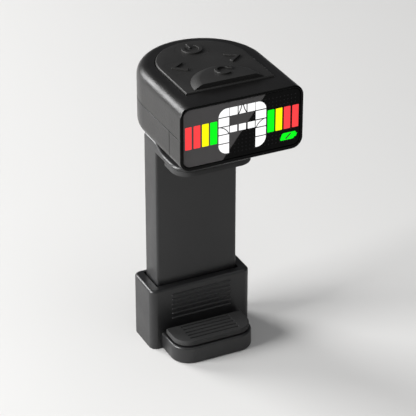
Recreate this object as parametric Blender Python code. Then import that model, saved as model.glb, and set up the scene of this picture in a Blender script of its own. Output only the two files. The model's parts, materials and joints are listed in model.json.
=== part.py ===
"""Clip-on tuner for violins: a D-shaped head on a tilting swivel above a ratchet edge clamp.

Every shape is drawn in datum coordinates: x across, y back from the display's front face and
z up from the flat top of the case, so the clamp lies at negative z. The datum empty then
stands the whole object on z = 0, centred over the origin.
"""
import math

import bmesh
import bpy
from mathutils import Matrix, Vector

MM = 0.001

# Fits between neighbouring pieces
GAP = 0.25 * MM
FINE_GAP = 0.15 * MM
OVERSHOOT = 2.0 * MM

# Case of the head: a rectangle with a half circle behind it
HALF_WIDTH = 13.0 * MM
ARC_Y = 17.16 * MM
CASE_DEPTH = ARC_Y + HALF_WIDTH
CASE_HEIGHT = 13.45 * MM
CASE_TOP_ABOVE_BASE = 64.0 * MM
EDGE_RADIUS = 2.3 * MM
WALL = 1.2 * MM
TOP_WALL = 1.3 * MM
PARTING_Z = -6.7 * MM
DRAWER_FRONT_Y = 5.0 * MM
FLOOR_Z = -12.1 * MM
ARC_STEPS = 20
EDGE_STEPS = 3

# Display window in the front face
WINDOW_HALF_WIDTH = 12.35 * MM
WINDOW_TOP_Z = -0.5 * MM
WINDOW_LOW_Z = -12.65 * MM
WINDOW_RADIUS = 1.4 * MM
WINDOW_DEPTH = 2.0 * MM

# Keypad on the top face
KEYPAD_HALF_WIDTH = 9.3 * MM
KEYPAD_FRONT_Y = 5.2 * MM
KEYPAD_TOP_Z = 0.35 * MM
KEYPAD_LOW_Z = -2.0 * MM
FLANGE_TOP_Z = -1.5 * MM
MODE_TOP_Z = 1.25 * MM
MODE_HALF_WIDTH = 7.3 * MM
MODE_BACK_Y = 13.5 * MM
POWER_RADIUS = 3.4 * MM
POWER_Y = 22.4 * MM
ARROW_X = 6.0 * MM
ARROW_Y = 15.9 * MM
ARROW_SIZE = (4.4 * MM, 5.4 * MM)

# Circuit board and what it carries
BOARD_TOP_Z = -4.1 * MM
BOARD_LOW_Z = -4.9 * MM
SWITCH_TOP_Z = -2.6 * MM
CELL_RADIUS = 10.0 * MM
CELL_LOW_Z = -11.0 * MM
CELL_HEIGHT = 3.2 * MM
BOSS_X = 10.0 * MM
BOSS_Y = 7.0 * MM
BOSS_RADIUS = 1.3 * MM
BOSS_BORE_RADIUS = 0.75 * MM
PANEL_HALF_WIDTH = 11.3 * MM
CHIP_X = (-8 * MM, -3.5 * MM)
CHIP_Y = (10 * MM, 14.5 * MM)
CHIP_LOW_Z = -6.0 * MM
SWITCH_HALF_WIDTH = 1.5 * MM
LEAF_THICKNESS = 0.2 * MM
LEAF_HALF_WIDTH = 1.5 * MM

# Screws: radii of heads, shanks, holes and recesses
HEAD_HEIGHT = 0.45 * MM
CASE_SCREW_HEAD = 1.35 * MM
CASE_SCREW_SHANK = 0.6 * MM
CASE_SCREW_HOLE = 0.85 * MM
CASE_SCREW_RECESS = 1.6 * MM
RECESS_DEPTH = 0.7 * MM
BRACKET_SCREW_HEAD = 1.05 * MM
BRACKET_SCREW_SHANK = 0.5 * MM
BRACKET_SCREW_HOLE = 0.7 * MM
SWIVEL_SCREW_HEAD = 2.4 * MM
CAP_SCREW_PLACE = (-6 * MM, 23 * MM)
CAP_SCREW_HOLE = 0.8 * MM

# Swivel between head and clamp
TILT_Z = -15.45 * MM
EAR_RADIUS = 1.15 * MM
PIN_RADIUS = 0.5 * MM
PIN_HOLE_HALF = 8 * MM
PLATE_THICKNESS = 0.5 * MM
EAR_INNER_X = 3.0 * MM
EAR_OUTER_X = 4.6 * MM
BARREL_HALF_WIDTH = 2.75 * MM
DISC_RADIUS = 5.2 * MM
DISC_THICKNESS = 0.5 * MM
BRACKET_SCREW_X = 6.2 * MM
STEM_RADIUS = 1.8 * MM

# Clamp
CLAMP_HALF_WIDTH = 9.0 * MM
ARM_FRONT_Y = 10.0 * MM
ARM_CORNER = 4.0 * MM
ARM_TOP_Z = -18.5 * MM
ARM_LOW_Z = -19.5 * MM
SEAT_TOP_Z = -17.5 * MM
SEAT_RADIUS = 5.8 * MM
STEP_FRONT_Y = 17.0 * MM
STEP_BACK_Y = 21.2 * MM
POST_TOP_Z = -17.2 * MM
POST_FRONT_Y = 20.2 * MM
POST_BACK_Y = 26.2 * MM
POST_LOW_Z = -62.65 * MM
PAD_THICKNESS = 1.1 * MM
PAD_BACK_Y = 17.2 * MM
PAD_INSET = 0.5 * MM
OPENING = 38.0 * MM
TOOTH_PITCH = 1.5 * MM
TOOTH_HEIGHT = 0.5 * MM
STRIP_HALF_WIDTH = 3.0 * MM
STRIP_DEPTH = 1.5 * MM
STRIP_TOP_Z = -26.0 * MM

# Lower jaw, which slides on the post, and its lever
SLEEVE_HALF_WIDTH = 11.3 * MM
SLEEVE_FRONT_Y = 18.2 * MM
SLEEVE_BACK_Y = 27.6 * MM
SLEEVE_TOP_Z = -50.0 * MM
LEVER_Y = 28.8 * MM
LEVER_Z = -55.5 * MM
LEVER_HALF_WIDTH = 4.1 * MM
KNUCKLE_RADIUS = 1.0 * MM
LEVER_EAR_INNER_X = 4.4 * MM
LEVER_EAR_OUTER_X = 5.6 * MM
PAWL_TIP_Y = 26.4 * MM
PAWL_HALF_WIDTH = 2.5 * MM
PAWL_SLOT_HALF_WIDTH = 2.9 * MM

UPPER_FACE_Z = ARM_LOW_Z - GAP - PAD_THICKNESS
LOWER_FACE_Z = UPPER_FACE_Z - OPENING
JAW_TOP_Z = LOWER_FACE_Z - PAD_THICKNESS - GAP
JAW_LOW_Z = -CASE_TOP_ABOVE_BASE

PLACES = {}


# ---------------------------------------------------------------- outlines and solids

def arc(center, radius, start, end, steps):
    """Points along an arc, angles in degrees."""
    angles = [math.radians(start + (end - start) * i / steps) for i in range(steps + 1)]
    return [(center[0] + radius * math.cos(a), center[1] + radius * math.sin(a)) for a in angles]


def d_outline(half_width, front_y, steps=ARC_STEPS):
    """The case's D in plan: straight sides from front_y and a half circle at the back."""
    return [(-half_width, front_y), (half_width, front_y)] + arc((0, ARC_Y), half_width, 0, 180, steps)


def rounded_rectangle(x0, x1, y0, y1, radius, steps=3):
    corners = [((x1 - radius, y0 + radius), -90), ((x1 - radius, y1 - radius), 0),
               ((x0 + radius, y1 - radius), 90), ((x0 + radius, y0 + radius), 180)]
    points = []
    for center, start in corners:
        points += arc(center, radius, start, start + 90, steps)
    return points


def prism(outline, low, high, axis="Z"):
    """Extrudes a closed outline along an axis; for X the outline is (y, z), for Y it is (x, z)."""
    order = {"Z": lambda u, v, w: (u, v, w),
             "X": lambda u, v, w: (w, u, v),
             "Y": lambda u, v, w: (u, w, v)}[axis]
    bm = bmesh.new()
    rings = [[bm.verts.new(order(u, v, w)) for u, v in outline] for w in (low, high)]
    for ring in rings:
        bm.faces.new(ring)
    count = len(outline)
    for i in range(count):
        j = (i + 1) % count
        bm.faces.new((rings[0][i], rings[0][j], rings[1][j], rings[1][i]))
    bmesh.ops.recalc_face_normals(bm, faces=bm.faces)
    return bm


def box(x0, x1, y0, y1, z0, z1):
    return prism([(x0, y0), (x1, y0), (x1, y1), (x0, y1)], z0, z1)


def cylinder(center, radius, low, high, axis="Z", sides=16):
    """A cylinder along an axis; center is the pair of coordinates that the axis leaves over."""
    return prism(arc(center, radius, 0, 360 - 360 / sides, sides - 1), low, high, axis)


def round_edges(bm, wanted, radius, steps=EDGE_STEPS):
    """Rounds the edges whose middle point and direction satisfy wanted(middle, direction)."""
    chosen = []
    for edge in bm.edges:
        a, b = (vert.co for vert in edge.verts)
        if wanted((a + b) / 2, (b - a).normalized()):
            chosen.append(edge)
    bmesh.ops.bevel(bm, geom=chosen, offset=radius, offset_type="OFFSET", segments=steps,
                    profile=0.5, affect="EDGES", clamp_overlap=True)
    return bm


def rim_at(z):
    """A test for round_edges: level edges at height z."""
    return lambda middle, direction: abs(middle.z - z) < FINE_GAP / 10 and abs(direction.z) < 0.1


def case_half(low, high, rounded_z):
    """Half of the case as a solid: rounded along rounded_z, then cut flat at the front face."""
    bm = prism(d_outline(HALF_WIDTH, -2 * EDGE_RADIUS), low, high)
    round_edges(bm, rim_at(rounded_z), EDGE_RADIUS)
    geometry = bm.verts[:] + bm.edges[:] + bm.faces[:]
    bmesh.ops.bisect_plane(bm, geom=geometry, plane_co=(0, 0, 0), plane_no=(0, -1, 0), clear_outer=True)
    bmesh.ops.holes_fill(bm, edges=[edge for edge in bm.edges if edge.is_boundary])
    bmesh.ops.recalc_face_normals(bm, faces=bm.faces)
    return bm


def stepped_pin(center, sections, sides=16):
    """A turned pin along Z: sections are (radius, low, high) from the bottom upwards."""
    bm = bmesh.new()
    circles = []
    for radius, low, high in sections:
        for z in (low, high):
            points = arc(center, radius, 0, 360 - 360 / sides, sides - 1)
            circles.append([bm.verts.new((x, y, z)) for x, y in points])
    for lower, upper in zip(circles, circles[1:]):
        for i in range(sides):
            j = (i + 1) % sides
            bm.faces.new((lower[i], lower[j], upper[j], upper[i]))
    bm.faces.new(circles[0])
    bm.faces.new(circles[-1])
    bmesh.ops.recalc_face_normals(bm, faces=bm.faces)
    return bm


def strip(path, thickness, half_width):
    """A bent sheet-metal or film strip: the (y, z) path is thickened and extruded across x."""
    sides = []
    for i, point in enumerate(path):
        before = path[max(i - 1, 0)]
        after = path[min(i + 1, len(path) - 1)]
        along = (Vector(after) - Vector(before)).normalized()
        across = Vector((-along.y, along.x)) * thickness / 2
        sides.append((Vector(point) + across, Vector(point) - across))
    outline = [tuple(side[0]) for side in sides] + [tuple(side[1]) for side in reversed(sides)]
    return prism(outline, -half_width, half_width, "X")


def coil(center, radius, wire, x0, x1, turns, steps=12, sides=6):
    """A closed coil of round wire along X."""
    bm = bmesh.new()
    rings = []
    for i in range(turns * steps + 1):
        angle = 2 * math.pi * i / steps
        x = x0 + (x1 - x0) * i / (turns * steps)
        outward = Vector((0, math.cos(angle), math.sin(angle)))
        middle = Vector((x, center[0], center[1])) + outward * radius
        ring = []
        for k in range(sides):
            turn = 2 * math.pi * k / sides
            offset = outward * math.cos(turn) * wire + Vector((math.sin(turn) * wire, 0, 0))
            ring.append(bm.verts.new(middle + offset))
        rings.append(ring)
    for first, second in zip(rings, rings[1:]):
        for k in range(sides):
            n = (k + 1) % sides
            bm.faces.new((first[k], first[n], second[n], second[k]))
    bm.faces.new(rings[0])
    bm.faces.new(rings[-1])
    bmesh.ops.recalc_face_normals(bm, faces=bm.faces)
    return bm


# ---------------------------------------------------------------- materials and objects

def make_material(name, color, roughness, metallic=0.0):
    material = bpy.data.materials.new(name)
    material.use_nodes = True
    shader = material.node_tree.nodes["Principled BSDF"]
    shader.inputs["Base Color"].default_value = (*color, 1.0)
    shader.inputs["Roughness"].default_value = roughness
    shader.inputs["Metallic"].default_value = metallic
    return material


def make_empty(name, position, parent=None):
    """A joint's empty, at its place in datum coordinates."""
    empty = bpy.data.objects.new(name, None)
    bpy.context.scene.collection.objects.link(empty)
    empty.empty_display_size = 5 * MM
    empty.parent = parent
    start = PLACES[parent.name] if parent else Vector((0, 0, 0))
    empty.location = Vector(position) - start
    PLACES[name] = Vector(position)
    return empty


def add_object(name, bm, parent):
    """Links a solid drawn in datum coordinates under its joint's empty."""
    mesh = bpy.data.meshes.new(name)
    bm.to_mesh(mesh)
    bm.free()
    mesh.transform(Matrix.Translation(-PLACES[parent.name]))
    mesh.shade_smooth()
    mesh.set_sharp_from_angle(angle=math.radians(35))
    obj = bpy.data.objects.new(name, mesh)
    bpy.context.scene.collection.objects.link(obj)
    obj.parent = parent
    return obj


def joined(*solids):
    return [("UNION", solid) for solid in solids]


def kept(solid):
    return [("INTERSECT", solid)]


def cut(*solids):
    return [("DIFFERENCE", solid) for solid in solids]


def add_piece(name, bm, material, parent, steps=()):
    """One sub-part: its solid, then Boolean steps in order, each with a hidden guide solid."""
    piece = add_object(name, bm, parent)
    piece.data.materials.append(material)
    for number, (operation, guide_bm) in enumerate(steps):
        guide = add_object(f"{name}_guide_{number}", guide_bm, parent)
        guide.hide_render = True
        guide.display_type = "WIRE"
        modifier = piece.modifiers.new(operation.title(), "BOOLEAN")
        modifier.operation = operation
        modifier.object = guide
    return piece


# ---------------------------------------------------------------- head

def window_cutter():
    outline = rounded_rectangle(-WINDOW_HALF_WIDTH, WINDOW_HALF_WIDTH, WINDOW_LOW_Z, WINDOW_TOP_Z,
                                WINDOW_RADIUS)
    return prism(outline, -OVERSHOOT, WINDOW_DEPTH, "Y")


def keypad_outline(growth=0.0):
    half_width = KEYPAD_HALF_WIDTH + growth
    return d_outline(half_width, KEYPAD_FRONT_Y - growth)


def mode_outline(growth=0.0):
    """The arched mode button: a half ellipse standing on the keypad's front edge."""
    front_y = KEYPAD_FRONT_Y + 2 * GAP
    half_width = MODE_HALF_WIDTH + growth
    rise = MODE_BACK_Y - front_y + growth
    arch = [(half_width * x, front_y + rise * y) for x, y in arc((0, 0), 1.0, 0, 180, 16)]
    return [(-half_width, front_y - growth), (half_width, front_y - growth)] + arch


def button_outlines(growth=0.0):
    """Plan outlines of the four buttons, and of their holes when grown."""
    outlines = {
        "power_button": arc((0, POWER_Y), POWER_RADIUS + growth, 0, 342, 19),
        "mode_button": mode_outline(growth),
    }
    half_x, half_y = (size / 2 + growth for size in ARROW_SIZE)
    for name, x in (("left_button", -ARROW_X), ("right_button", ARROW_X)):
        outlines[name] = rounded_rectangle(x - half_x, x + half_x, ARROW_Y - half_y, ARROW_Y + half_y,
                                           1.2 * MM + growth)
    return outlines


def make_case(head, black):
    inner = HALF_WIDTH - WALL
    web_width = 1.8 * MM
    bosses = []
    bores = []
    screw_cuts = []
    for side in (-1, 1):
        center = (side * BOSS_X, BOSS_Y)
        bosses.append(cylinder(center, BOSS_RADIUS, FLOOR_Z + GAP, KEYPAD_LOW_Z - GAP))
        x0, x1 = sorted((side * BOSS_X, side * (inner + WALL / 2)))
        bosses.append(box(x0, x1, BOSS_Y - web_width / 2, BOSS_Y + web_width / 2,
                          PARTING_Z + WALL, KEYPAD_LOW_Z - 2 * GAP))
        bores.append(cylinder(center, BOSS_BORE_RADIUS, FLOOR_Z - OVERSHOOT, BOARD_LOW_Z - WALL))
        screw_cuts.append(cylinder(center, CASE_SCREW_HOLE, -CASE_HEIGHT - OVERSHOOT,
                                   FLOOR_Z + OVERSHOOT))
        screw_cuts.append(cylinder(center, CASE_SCREW_RECESS, -CASE_HEIGHT - OVERSHOOT,
                                   -CASE_HEIGHT + RECESS_DEPTH))
        screw_cuts.append(cylinder((side * BRACKET_SCREW_X, ARC_Y), BRACKET_SCREW_HOLE,
                                   -CASE_HEIGHT - OVERSHOOT, -CASE_HEIGHT + RECESS_DEPTH))

    top = case_half(PARTING_Z + GAP / 2, 0, 0)
    cavity = prism(d_outline(inner, WINDOW_DEPTH - FINE_GAP), PARTING_Z - OVERSHOOT, -TOP_WALL)
    opening = prism(keypad_outline(GAP), -TOP_WALL - OVERSHOOT, OVERSHOOT)
    add_piece("top_shell", top, black, head,
              cut(cavity, window_cutter(), opening) + joined(*bosses) + cut(*bores))

    bottom = case_half(-CASE_HEIGHT, PARTING_Z - GAP / 2, -CASE_HEIGHT)
    drawer_bay = box(-HALF_WIDTH - OVERSHOOT, HALF_WIDTH + OVERSHOOT, DRAWER_FRONT_Y - GAP / 2,
                     CASE_DEPTH + OVERSHOOT, FLOOR_Z, OVERSHOOT)
    display_bay = box(-inner, inner, WINDOW_DEPTH - FINE_GAP, DRAWER_FRONT_Y + OVERSHOOT,
                      FLOOR_Z, OVERSHOOT)
    sensor_pocket = cylinder((0, ARC_Y), 5.2 * MM, FLOOR_Z - 0.6 * MM, OVERSHOOT, sides=24)
    add_piece("base_shell", bottom, black, head,
              cut(drawer_bay, display_bay, window_cutter(), sensor_pocket, *screw_cuts))


def make_display(head, lens_plastic, glass, white, film):
    lens = rounded_rectangle(-WINDOW_HALF_WIDTH + GAP, WINDOW_HALF_WIDTH - GAP,
                             WINDOW_LOW_Z + GAP, WINDOW_TOP_Z - GAP, WINDOW_RADIUS - GAP)
    add_piece("display_lens", prism(lens, 0.1 * MM, WINDOW_DEPTH - 2 * GAP, "Y"), lens_plastic, head)
    panel_half = PANEL_HALF_WIDTH
    panel_low = FLOOR_Z + GAP
    panel_top = -TOP_WALL - GAP
    panel_back = WINDOW_DEPTH + 1.1 * MM
    add_piece("lcd_panel", box(-panel_half, panel_half, WINDOW_DEPTH, panel_back, panel_low, panel_top),
              glass, head)
    light_back = panel_back + GAP + 0.9 * MM
    light = box(-panel_half, panel_half, panel_back + GAP, light_back, panel_low, panel_top)
    add_piece("backlight_panel", light, white, head)
    film_y = light_back + GAP
    film_top = BOARD_TOP_Z + GAP + FINE_GAP / 2
    path = [(film_y, -10 * MM), (film_y, film_top - 0.3 * MM), (film_y + 0.1 * MM, film_top - 0.1 * MM),
            (film_y + 0.3 * MM, film_top), (6.4 * MM, film_top)]
    add_piece("display_flex_strip", strip(path, FINE_GAP, 4 * MM), film, head)


def make_keypad(head, rubber):
    flange = prism(d_outline(KEYPAD_HALF_WIDTH + 1.0 * MM, KEYPAD_FRONT_Y - 0.5 * MM),
                   KEYPAD_LOW_Z, FLANGE_TOP_Z)
    body = prism(keypad_outline(), KEYPAD_LOW_Z, KEYPAD_TOP_Z)
    round_edges(body, rim_at(KEYPAD_TOP_Z), 0.2 * MM, 1)
    holes = [prism(outline, KEYPAD_LOW_Z - OVERSHOOT, OVERSHOOT)
             for outline in button_outlines(FINE_GAP).values()]
    add_piece("keypad_mat", body, rubber, head, joined(flange) + cut(*holes))
    for name, outline in button_outlines().items():
        top = MODE_TOP_Z if name == "mode_button" else KEYPAD_TOP_Z
        button = prism(outline, KEYPAD_LOW_Z, top)
        round_edges(button, rim_at(top), 0.5 * MM if name == "mode_button" else 0.1 * MM, 2)
        middle = sum((Vector((x, y, 0)) for x, y in outline), Vector()) / len(outline)
        empty = make_empty(f"{name}_travel", (middle.x, middle.y, top), head)
        add_piece(name, button, rubber, empty)


def make_electronics(head, board_green, chip_black, steel, brass):
    holes = []
    for side in (-1, 1):
        holes.append(cylinder((side * BOSS_X, BOSS_Y), BOSS_RADIUS + GAP, BOARD_LOW_Z - OVERSHOOT, 0))
    board = prism(d_outline(10.9 * MM, DRAWER_FRONT_Y + 0.4 * MM), BOARD_LOW_Z, BOARD_TOP_Z)
    add_piece("circuit_board", board, board_green, head, cut(*holes))
    spots = {"power": (0, POWER_Y), "left": (-ARROW_X, ARROW_Y), "right": (ARROW_X, ARROW_Y),
             "mode": (0, 9.2 * MM)}
    half = SWITCH_HALF_WIDTH
    for name, (x, y) in spots.items():
        body = box(x - half, x + half, y - half, y + half, BOARD_TOP_Z + GAP, SWITCH_TOP_Z - 0.3 * MM)
        plunger = cylinder((x, y), 0.8 * MM, BOARD_TOP_Z + 2 * GAP, SWITCH_TOP_Z, sides=12)
        add_piece(f"{name}_switch", body, steel, head, joined(plunger))
    add_piece("controller_chip", box(*CHIP_X, *CHIP_Y, CHIP_LOW_Z, BOARD_LOW_Z - GAP), chip_black, head)
    add_piece("piezo_sensor", cylinder((0, ARC_Y), 4.9 * MM, FLOOR_Z - 0.45 * MM, FLOOR_Z - FINE_GAP,
                                       sides=24), brass, head)


def make_power(head, drawer, black, steel):
    bottom = case_half(-CASE_HEIGHT, PARTING_Z - GAP / 2, -CASE_HEIGHT)
    outer = box(-HALF_WIDTH - OVERSHOOT, HALF_WIDTH + OVERSHOOT, DRAWER_FRONT_Y + GAP / 2,
                CASE_DEPTH + OVERSHOOT, FLOOR_Z + FINE_GAP, OVERSHOOT)
    pocket = cylinder((0, ARC_Y), CELL_RADIUS + GAP, CELL_LOW_Z - GAP, OVERSHOOT, sides=32)
    inner = HALF_WIDTH - WALL - FINE_GAP
    boss_relief = box(-inner, inner, 0, BOSS_Y + 2 * MM, -CASE_HEIGHT, OVERSHOOT)
    add_piece("battery_drawer", bottom, black, drawer, kept(outer) + cut(pocket, boss_relief))
    cell = cylinder((0, ARC_Y), CELL_RADIUS, CELL_LOW_Z, CELL_LOW_Z + CELL_HEIGHT, sides=32)
    for z in (CELL_LOW_Z, CELL_LOW_Z + CELL_HEIGHT):
        round_edges(cell, rim_at(z), 0.3 * MM, 1)
    add_piece("coin_cell", cell, steel, drawer)
    foot_z = BOARD_LOW_Z - GAP
    side_leaf = [(9 * MM, foot_z), (6.8 * MM, foot_z), (6.6 * MM, foot_z - 0.3 * MM),
                 (6.6 * MM, -10.5 * MM)]
    add_piece("positive_contact", strip(side_leaf, LEAF_THICKNESS, LEAF_HALF_WIDTH), steel, head)
    leaf_z = CELL_LOW_Z + CELL_HEIGHT + GAP
    top_leaf = [(22 * MM, foot_z), (18.5 * MM, foot_z), (15 * MM, leaf_z), (14 * MM, leaf_z),
                (13 * MM, leaf_z + 0.4 * MM)]
    add_piece("negative_contact", strip(top_leaf, LEAF_THICKNESS, LEAF_HALF_WIDTH), steel, head)


def make_case_screws(head, steel):
    head_low = -CASE_HEIGHT + FINE_GAP / 3
    for name, side in (("left", -1), ("right", 1)):
        screw = stepped_pin((side * BOSS_X, BOSS_Y),
                            [(CASE_SCREW_HEAD, head_low, head_low + HEAD_HEIGHT),
                             (CASE_SCREW_SHANK, head_low + HEAD_HEIGHT, BOARD_LOW_Z - 3 * MM)])
        add_piece(f"case_screw_{name}", screw, steel, head)
        plate_low = -CASE_HEIGHT - GAP - PLATE_THICKNESS
        screw = stepped_pin((side * BRACKET_SCREW_X, ARC_Y),
                            [(BRACKET_SCREW_HEAD, plate_low - GAP - HEAD_HEIGHT, plate_low - GAP),
                             (BRACKET_SCREW_SHANK, plate_low - GAP, -CASE_HEIGHT + 0.5 * MM)])
        add_piece(f"bracket_screw_{name}", screw, steel, head)


# ---------------------------------------------------------------- swivel

def ear_outline(radius, top_z):
    """A lug in the (y, z) plane: round below the tilt axis, straight up to top_z."""
    below = arc((ARC_Y, TILT_Z), radius, 180, 360, 10)
    return below + [(ARC_Y + radius, top_z), (ARC_Y - radius, top_z)]


def make_swivel(head, turret, steel, plastic):
    plate_top = -CASE_HEIGHT - GAP
    plate_low = plate_top - PLATE_THICKNESS
    plate = prism(rounded_rectangle(-7.6 * MM, 7.6 * MM, ARC_Y - 3 * MM, ARC_Y + 3 * MM, 1.0 * MM),
                  plate_low, plate_top)
    ears = []
    for side in (-1, 1):
        x0, x1 = sorted((side * EAR_INNER_X, side * EAR_OUTER_X))
        ears.append(prism(ear_outline(EAR_RADIUS, plate_low + 0.3 * MM), x0, x1, "X"))
    pin_hole = cylinder((ARC_Y, TILT_Z), PIN_RADIUS + FINE_GAP, -PIN_HOLE_HALF, PIN_HOLE_HALF, "X")
    screw_holes = [cylinder((side * BRACKET_SCREW_X, ARC_Y), BRACKET_SCREW_HOLE,
                            plate_low - OVERSHOOT, plate_top + OVERSHOOT) for side in (-1, 1)]
    add_piece("tilt_bracket", plate, steel, head, joined(*ears) + cut(pin_hole, *screw_holes))

    disc_low = SEAT_TOP_Z + GAP
    disc = cylinder((0, ARC_Y), DISC_RADIUS, disc_low, disc_low + DISC_THICKNESS, sides=28)
    disc_middle = disc_low + DISC_THICKNESS / 2
    stem = cylinder((0, ARC_Y), STEM_RADIUS, SEAT_TOP_Z - 1.2 * MM, disc_middle)
    barrel_outline = [(y, z) for y, z in arc((ARC_Y, TILT_Z), EAR_RADIUS - 0.1 * MM, 0, 180, 8)]
    barrel_outline += [(ARC_Y - EAR_RADIUS, disc_middle), (ARC_Y + EAR_RADIUS, disc_middle)]
    barrel = prism(barrel_outline, -BARREL_HALF_WIDTH, BARREL_HALF_WIDTH, "X")
    pin_hole = cylinder((ARC_Y, TILT_Z), PIN_RADIUS + FINE_GAP, -PIN_HOLE_HALF, PIN_HOLE_HALF, "X")
    screw_bore = cylinder((0, ARC_Y), 0.8 * MM, ARM_LOW_Z, disc_low + 0.3 * MM)
    add_piece("swivel_turret", disc, plastic, turret, joined(stem, barrel) + cut(pin_hole, screw_bore))
    add_piece("tilt_pin", cylinder((ARC_Y, TILT_Z), PIN_RADIUS, -4.8 * MM, 4.8 * MM, "X"), steel, turret)
    screw_top = SEAT_TOP_Z - 1.2 * MM - GAP
    screw = stepped_pin((0, ARC_Y), [(SWIVEL_SCREW_HEAD, screw_top - 0.5 * MM, screw_top),
                                     (CASE_SCREW_SHANK, screw_top, disc_low + 0.1 * MM)])
    add_piece("swivel_screw", screw, steel, turret)


# ---------------------------------------------------------------- clamp

def clamp_plan(back_y, inset=0.0):
    """Plan of an arm or its pad: square at the back, round corners at the front."""
    half = CLAMP_HALF_WIDTH - inset
    front_y = ARM_FRONT_Y + inset
    radius = ARM_CORNER - inset
    points = [(half, back_y), (-half, back_y)]
    points += arc((-half + radius, front_y + radius), radius, 180, 270, 6)
    return points + arc((half - radius, front_y + radius), radius, 270, 360, 6)


def arm_profile():
    """Side view of the upper arm, in (y, z): it steps up from the foot to the post's top."""
    steps = 8
    curve = []
    for i in range(steps + 1):
        t = i / steps
        rise = t * t * (3 - 2 * t)
        curve.append((STEP_FRONT_Y + t * (STEP_BACK_Y - STEP_FRONT_Y),
                      ARM_TOP_Z + rise * (POST_TOP_Z - ARM_TOP_Z)))
    return [(POST_BACK_Y, ARM_LOW_Z), (POST_BACK_Y, POST_TOP_Z)] + curve[::-1] + [
        (ARM_FRONT_Y - OVERSHOOT, ARM_TOP_Z), (ARM_FRONT_Y - OVERSHOOT, ARM_LOW_Z)]


def pad_solid(low):
    """A rubber pad, a little inside the arm's plan."""
    return prism(clamp_plan(PAD_BACK_Y, PAD_INSET), low, low + PAD_THICKNESS)


def make_upper_clamp(frame, plastic, rubber, nylon, steel):
    arm = prism(arm_profile(), -CLAMP_HALF_WIDTH, CLAMP_HALF_WIDTH, "X")
    plan = prism(clamp_plan(POST_BACK_Y + OVERSHOOT), ARM_LOW_Z - OVERSHOOT, 0)
    seat = cylinder((0, ARC_Y), SEAT_RADIUS, ARM_TOP_Z - 0.5 * MM, SEAT_TOP_Z, sides=28)
    turret_room = cylinder((0, ARC_Y), SEAT_RADIUS, SEAT_TOP_Z, SEAT_TOP_Z + OVERSHOOT, sides=28)
    post = prism(rounded_rectangle(-CLAMP_HALF_WIDTH, CLAMP_HALF_WIDTH, POST_FRONT_Y, POST_BACK_Y,
                                   0.6 * MM, 2), POST_LOW_Z, ARM_TOP_Z)
    groove = box(-STRIP_HALF_WIDTH - GAP, STRIP_HALF_WIDTH + GAP, POST_BACK_Y - STRIP_DEPTH,
                 POST_BACK_Y + OVERSHOOT, POST_LOW_Z - OVERSHOOT, STRIP_TOP_Z)
    stem_hole = cylinder((0, ARC_Y), STEM_RADIUS + GAP, ARM_LOW_Z - OVERSHOOT, SEAT_TOP_Z + OVERSHOOT,
                         sides=20)
    screw_seat = cylinder((0, ARC_Y), 2.75 * MM, ARM_LOW_Z - OVERSHOOT, SEAT_TOP_Z - 1.3 * MM, sides=20)
    cap_bore = cylinder(CAP_SCREW_PLACE, CAP_SCREW_HOLE, POST_LOW_Z - OVERSHOOT, POST_LOW_Z + 4 * MM,
                        sides=12)
    add_piece("clamp_frame", arm, plastic, frame,
              kept(plan) + joined(post, seat) + cut(turret_room, groove, stem_hole, screw_seat, cap_bore))
    add_piece("upper_pad", pad_solid(UPPER_FACE_Z), rubber, frame)

    root_y = POST_BACK_Y - TOOTH_HEIGHT
    low = POST_LOW_Z + GAP
    count = int((STRIP_TOP_Z - GAP - low) / TOOTH_PITCH)
    strip_front_y = POST_BACK_Y - STRIP_DEPTH + GAP
    outline = [(strip_front_y, low + count * TOOTH_PITCH), (strip_front_y, low)]
    for i in range(count):
        z = low + i * TOOTH_PITCH
        outline += [(root_y, z), (POST_BACK_Y, z + 0.25 * TOOTH_PITCH),
                    (POST_BACK_Y, z + 0.45 * TOOTH_PITCH)]
    outline.append((root_y, low + count * TOOTH_PITCH))
    add_piece("ratchet_strip", prism(outline, -STRIP_HALF_WIDTH, STRIP_HALF_WIDTH, "X"), nylon, frame)

    cap_top = POST_LOW_Z - GAP
    cap = prism(rounded_rectangle(-9.8 * MM, 9.8 * MM, 19.4 * MM, 26.8 * MM, 0.6 * MM),
                cap_top - 0.8 * MM, cap_top)
    cap_hole = cylinder(CAP_SCREW_PLACE, CAP_SCREW_HOLE, cap_top - OVERSHOOT, cap_top + OVERSHOOT, sides=12)
    cap_seat = cylinder(CAP_SCREW_PLACE, CASE_SCREW_RECESS, cap_top - OVERSHOOT, cap_top - 0.3 * MM, sides=16)
    add_piece("end_cap", cap, plastic, frame, cut(cap_hole, cap_seat))
    seat_z = cap_top - 0.35 * MM
    screw = stepped_pin(CAP_SCREW_PLACE, [(CASE_SCREW_HEAD, seat_z - 0.4 * MM, seat_z),
                                          (CASE_SCREW_SHANK, seat_z, POST_LOW_Z + 3.5 * MM)], 12)
    add_piece("end_cap_screw", screw, steel, frame)


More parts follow.
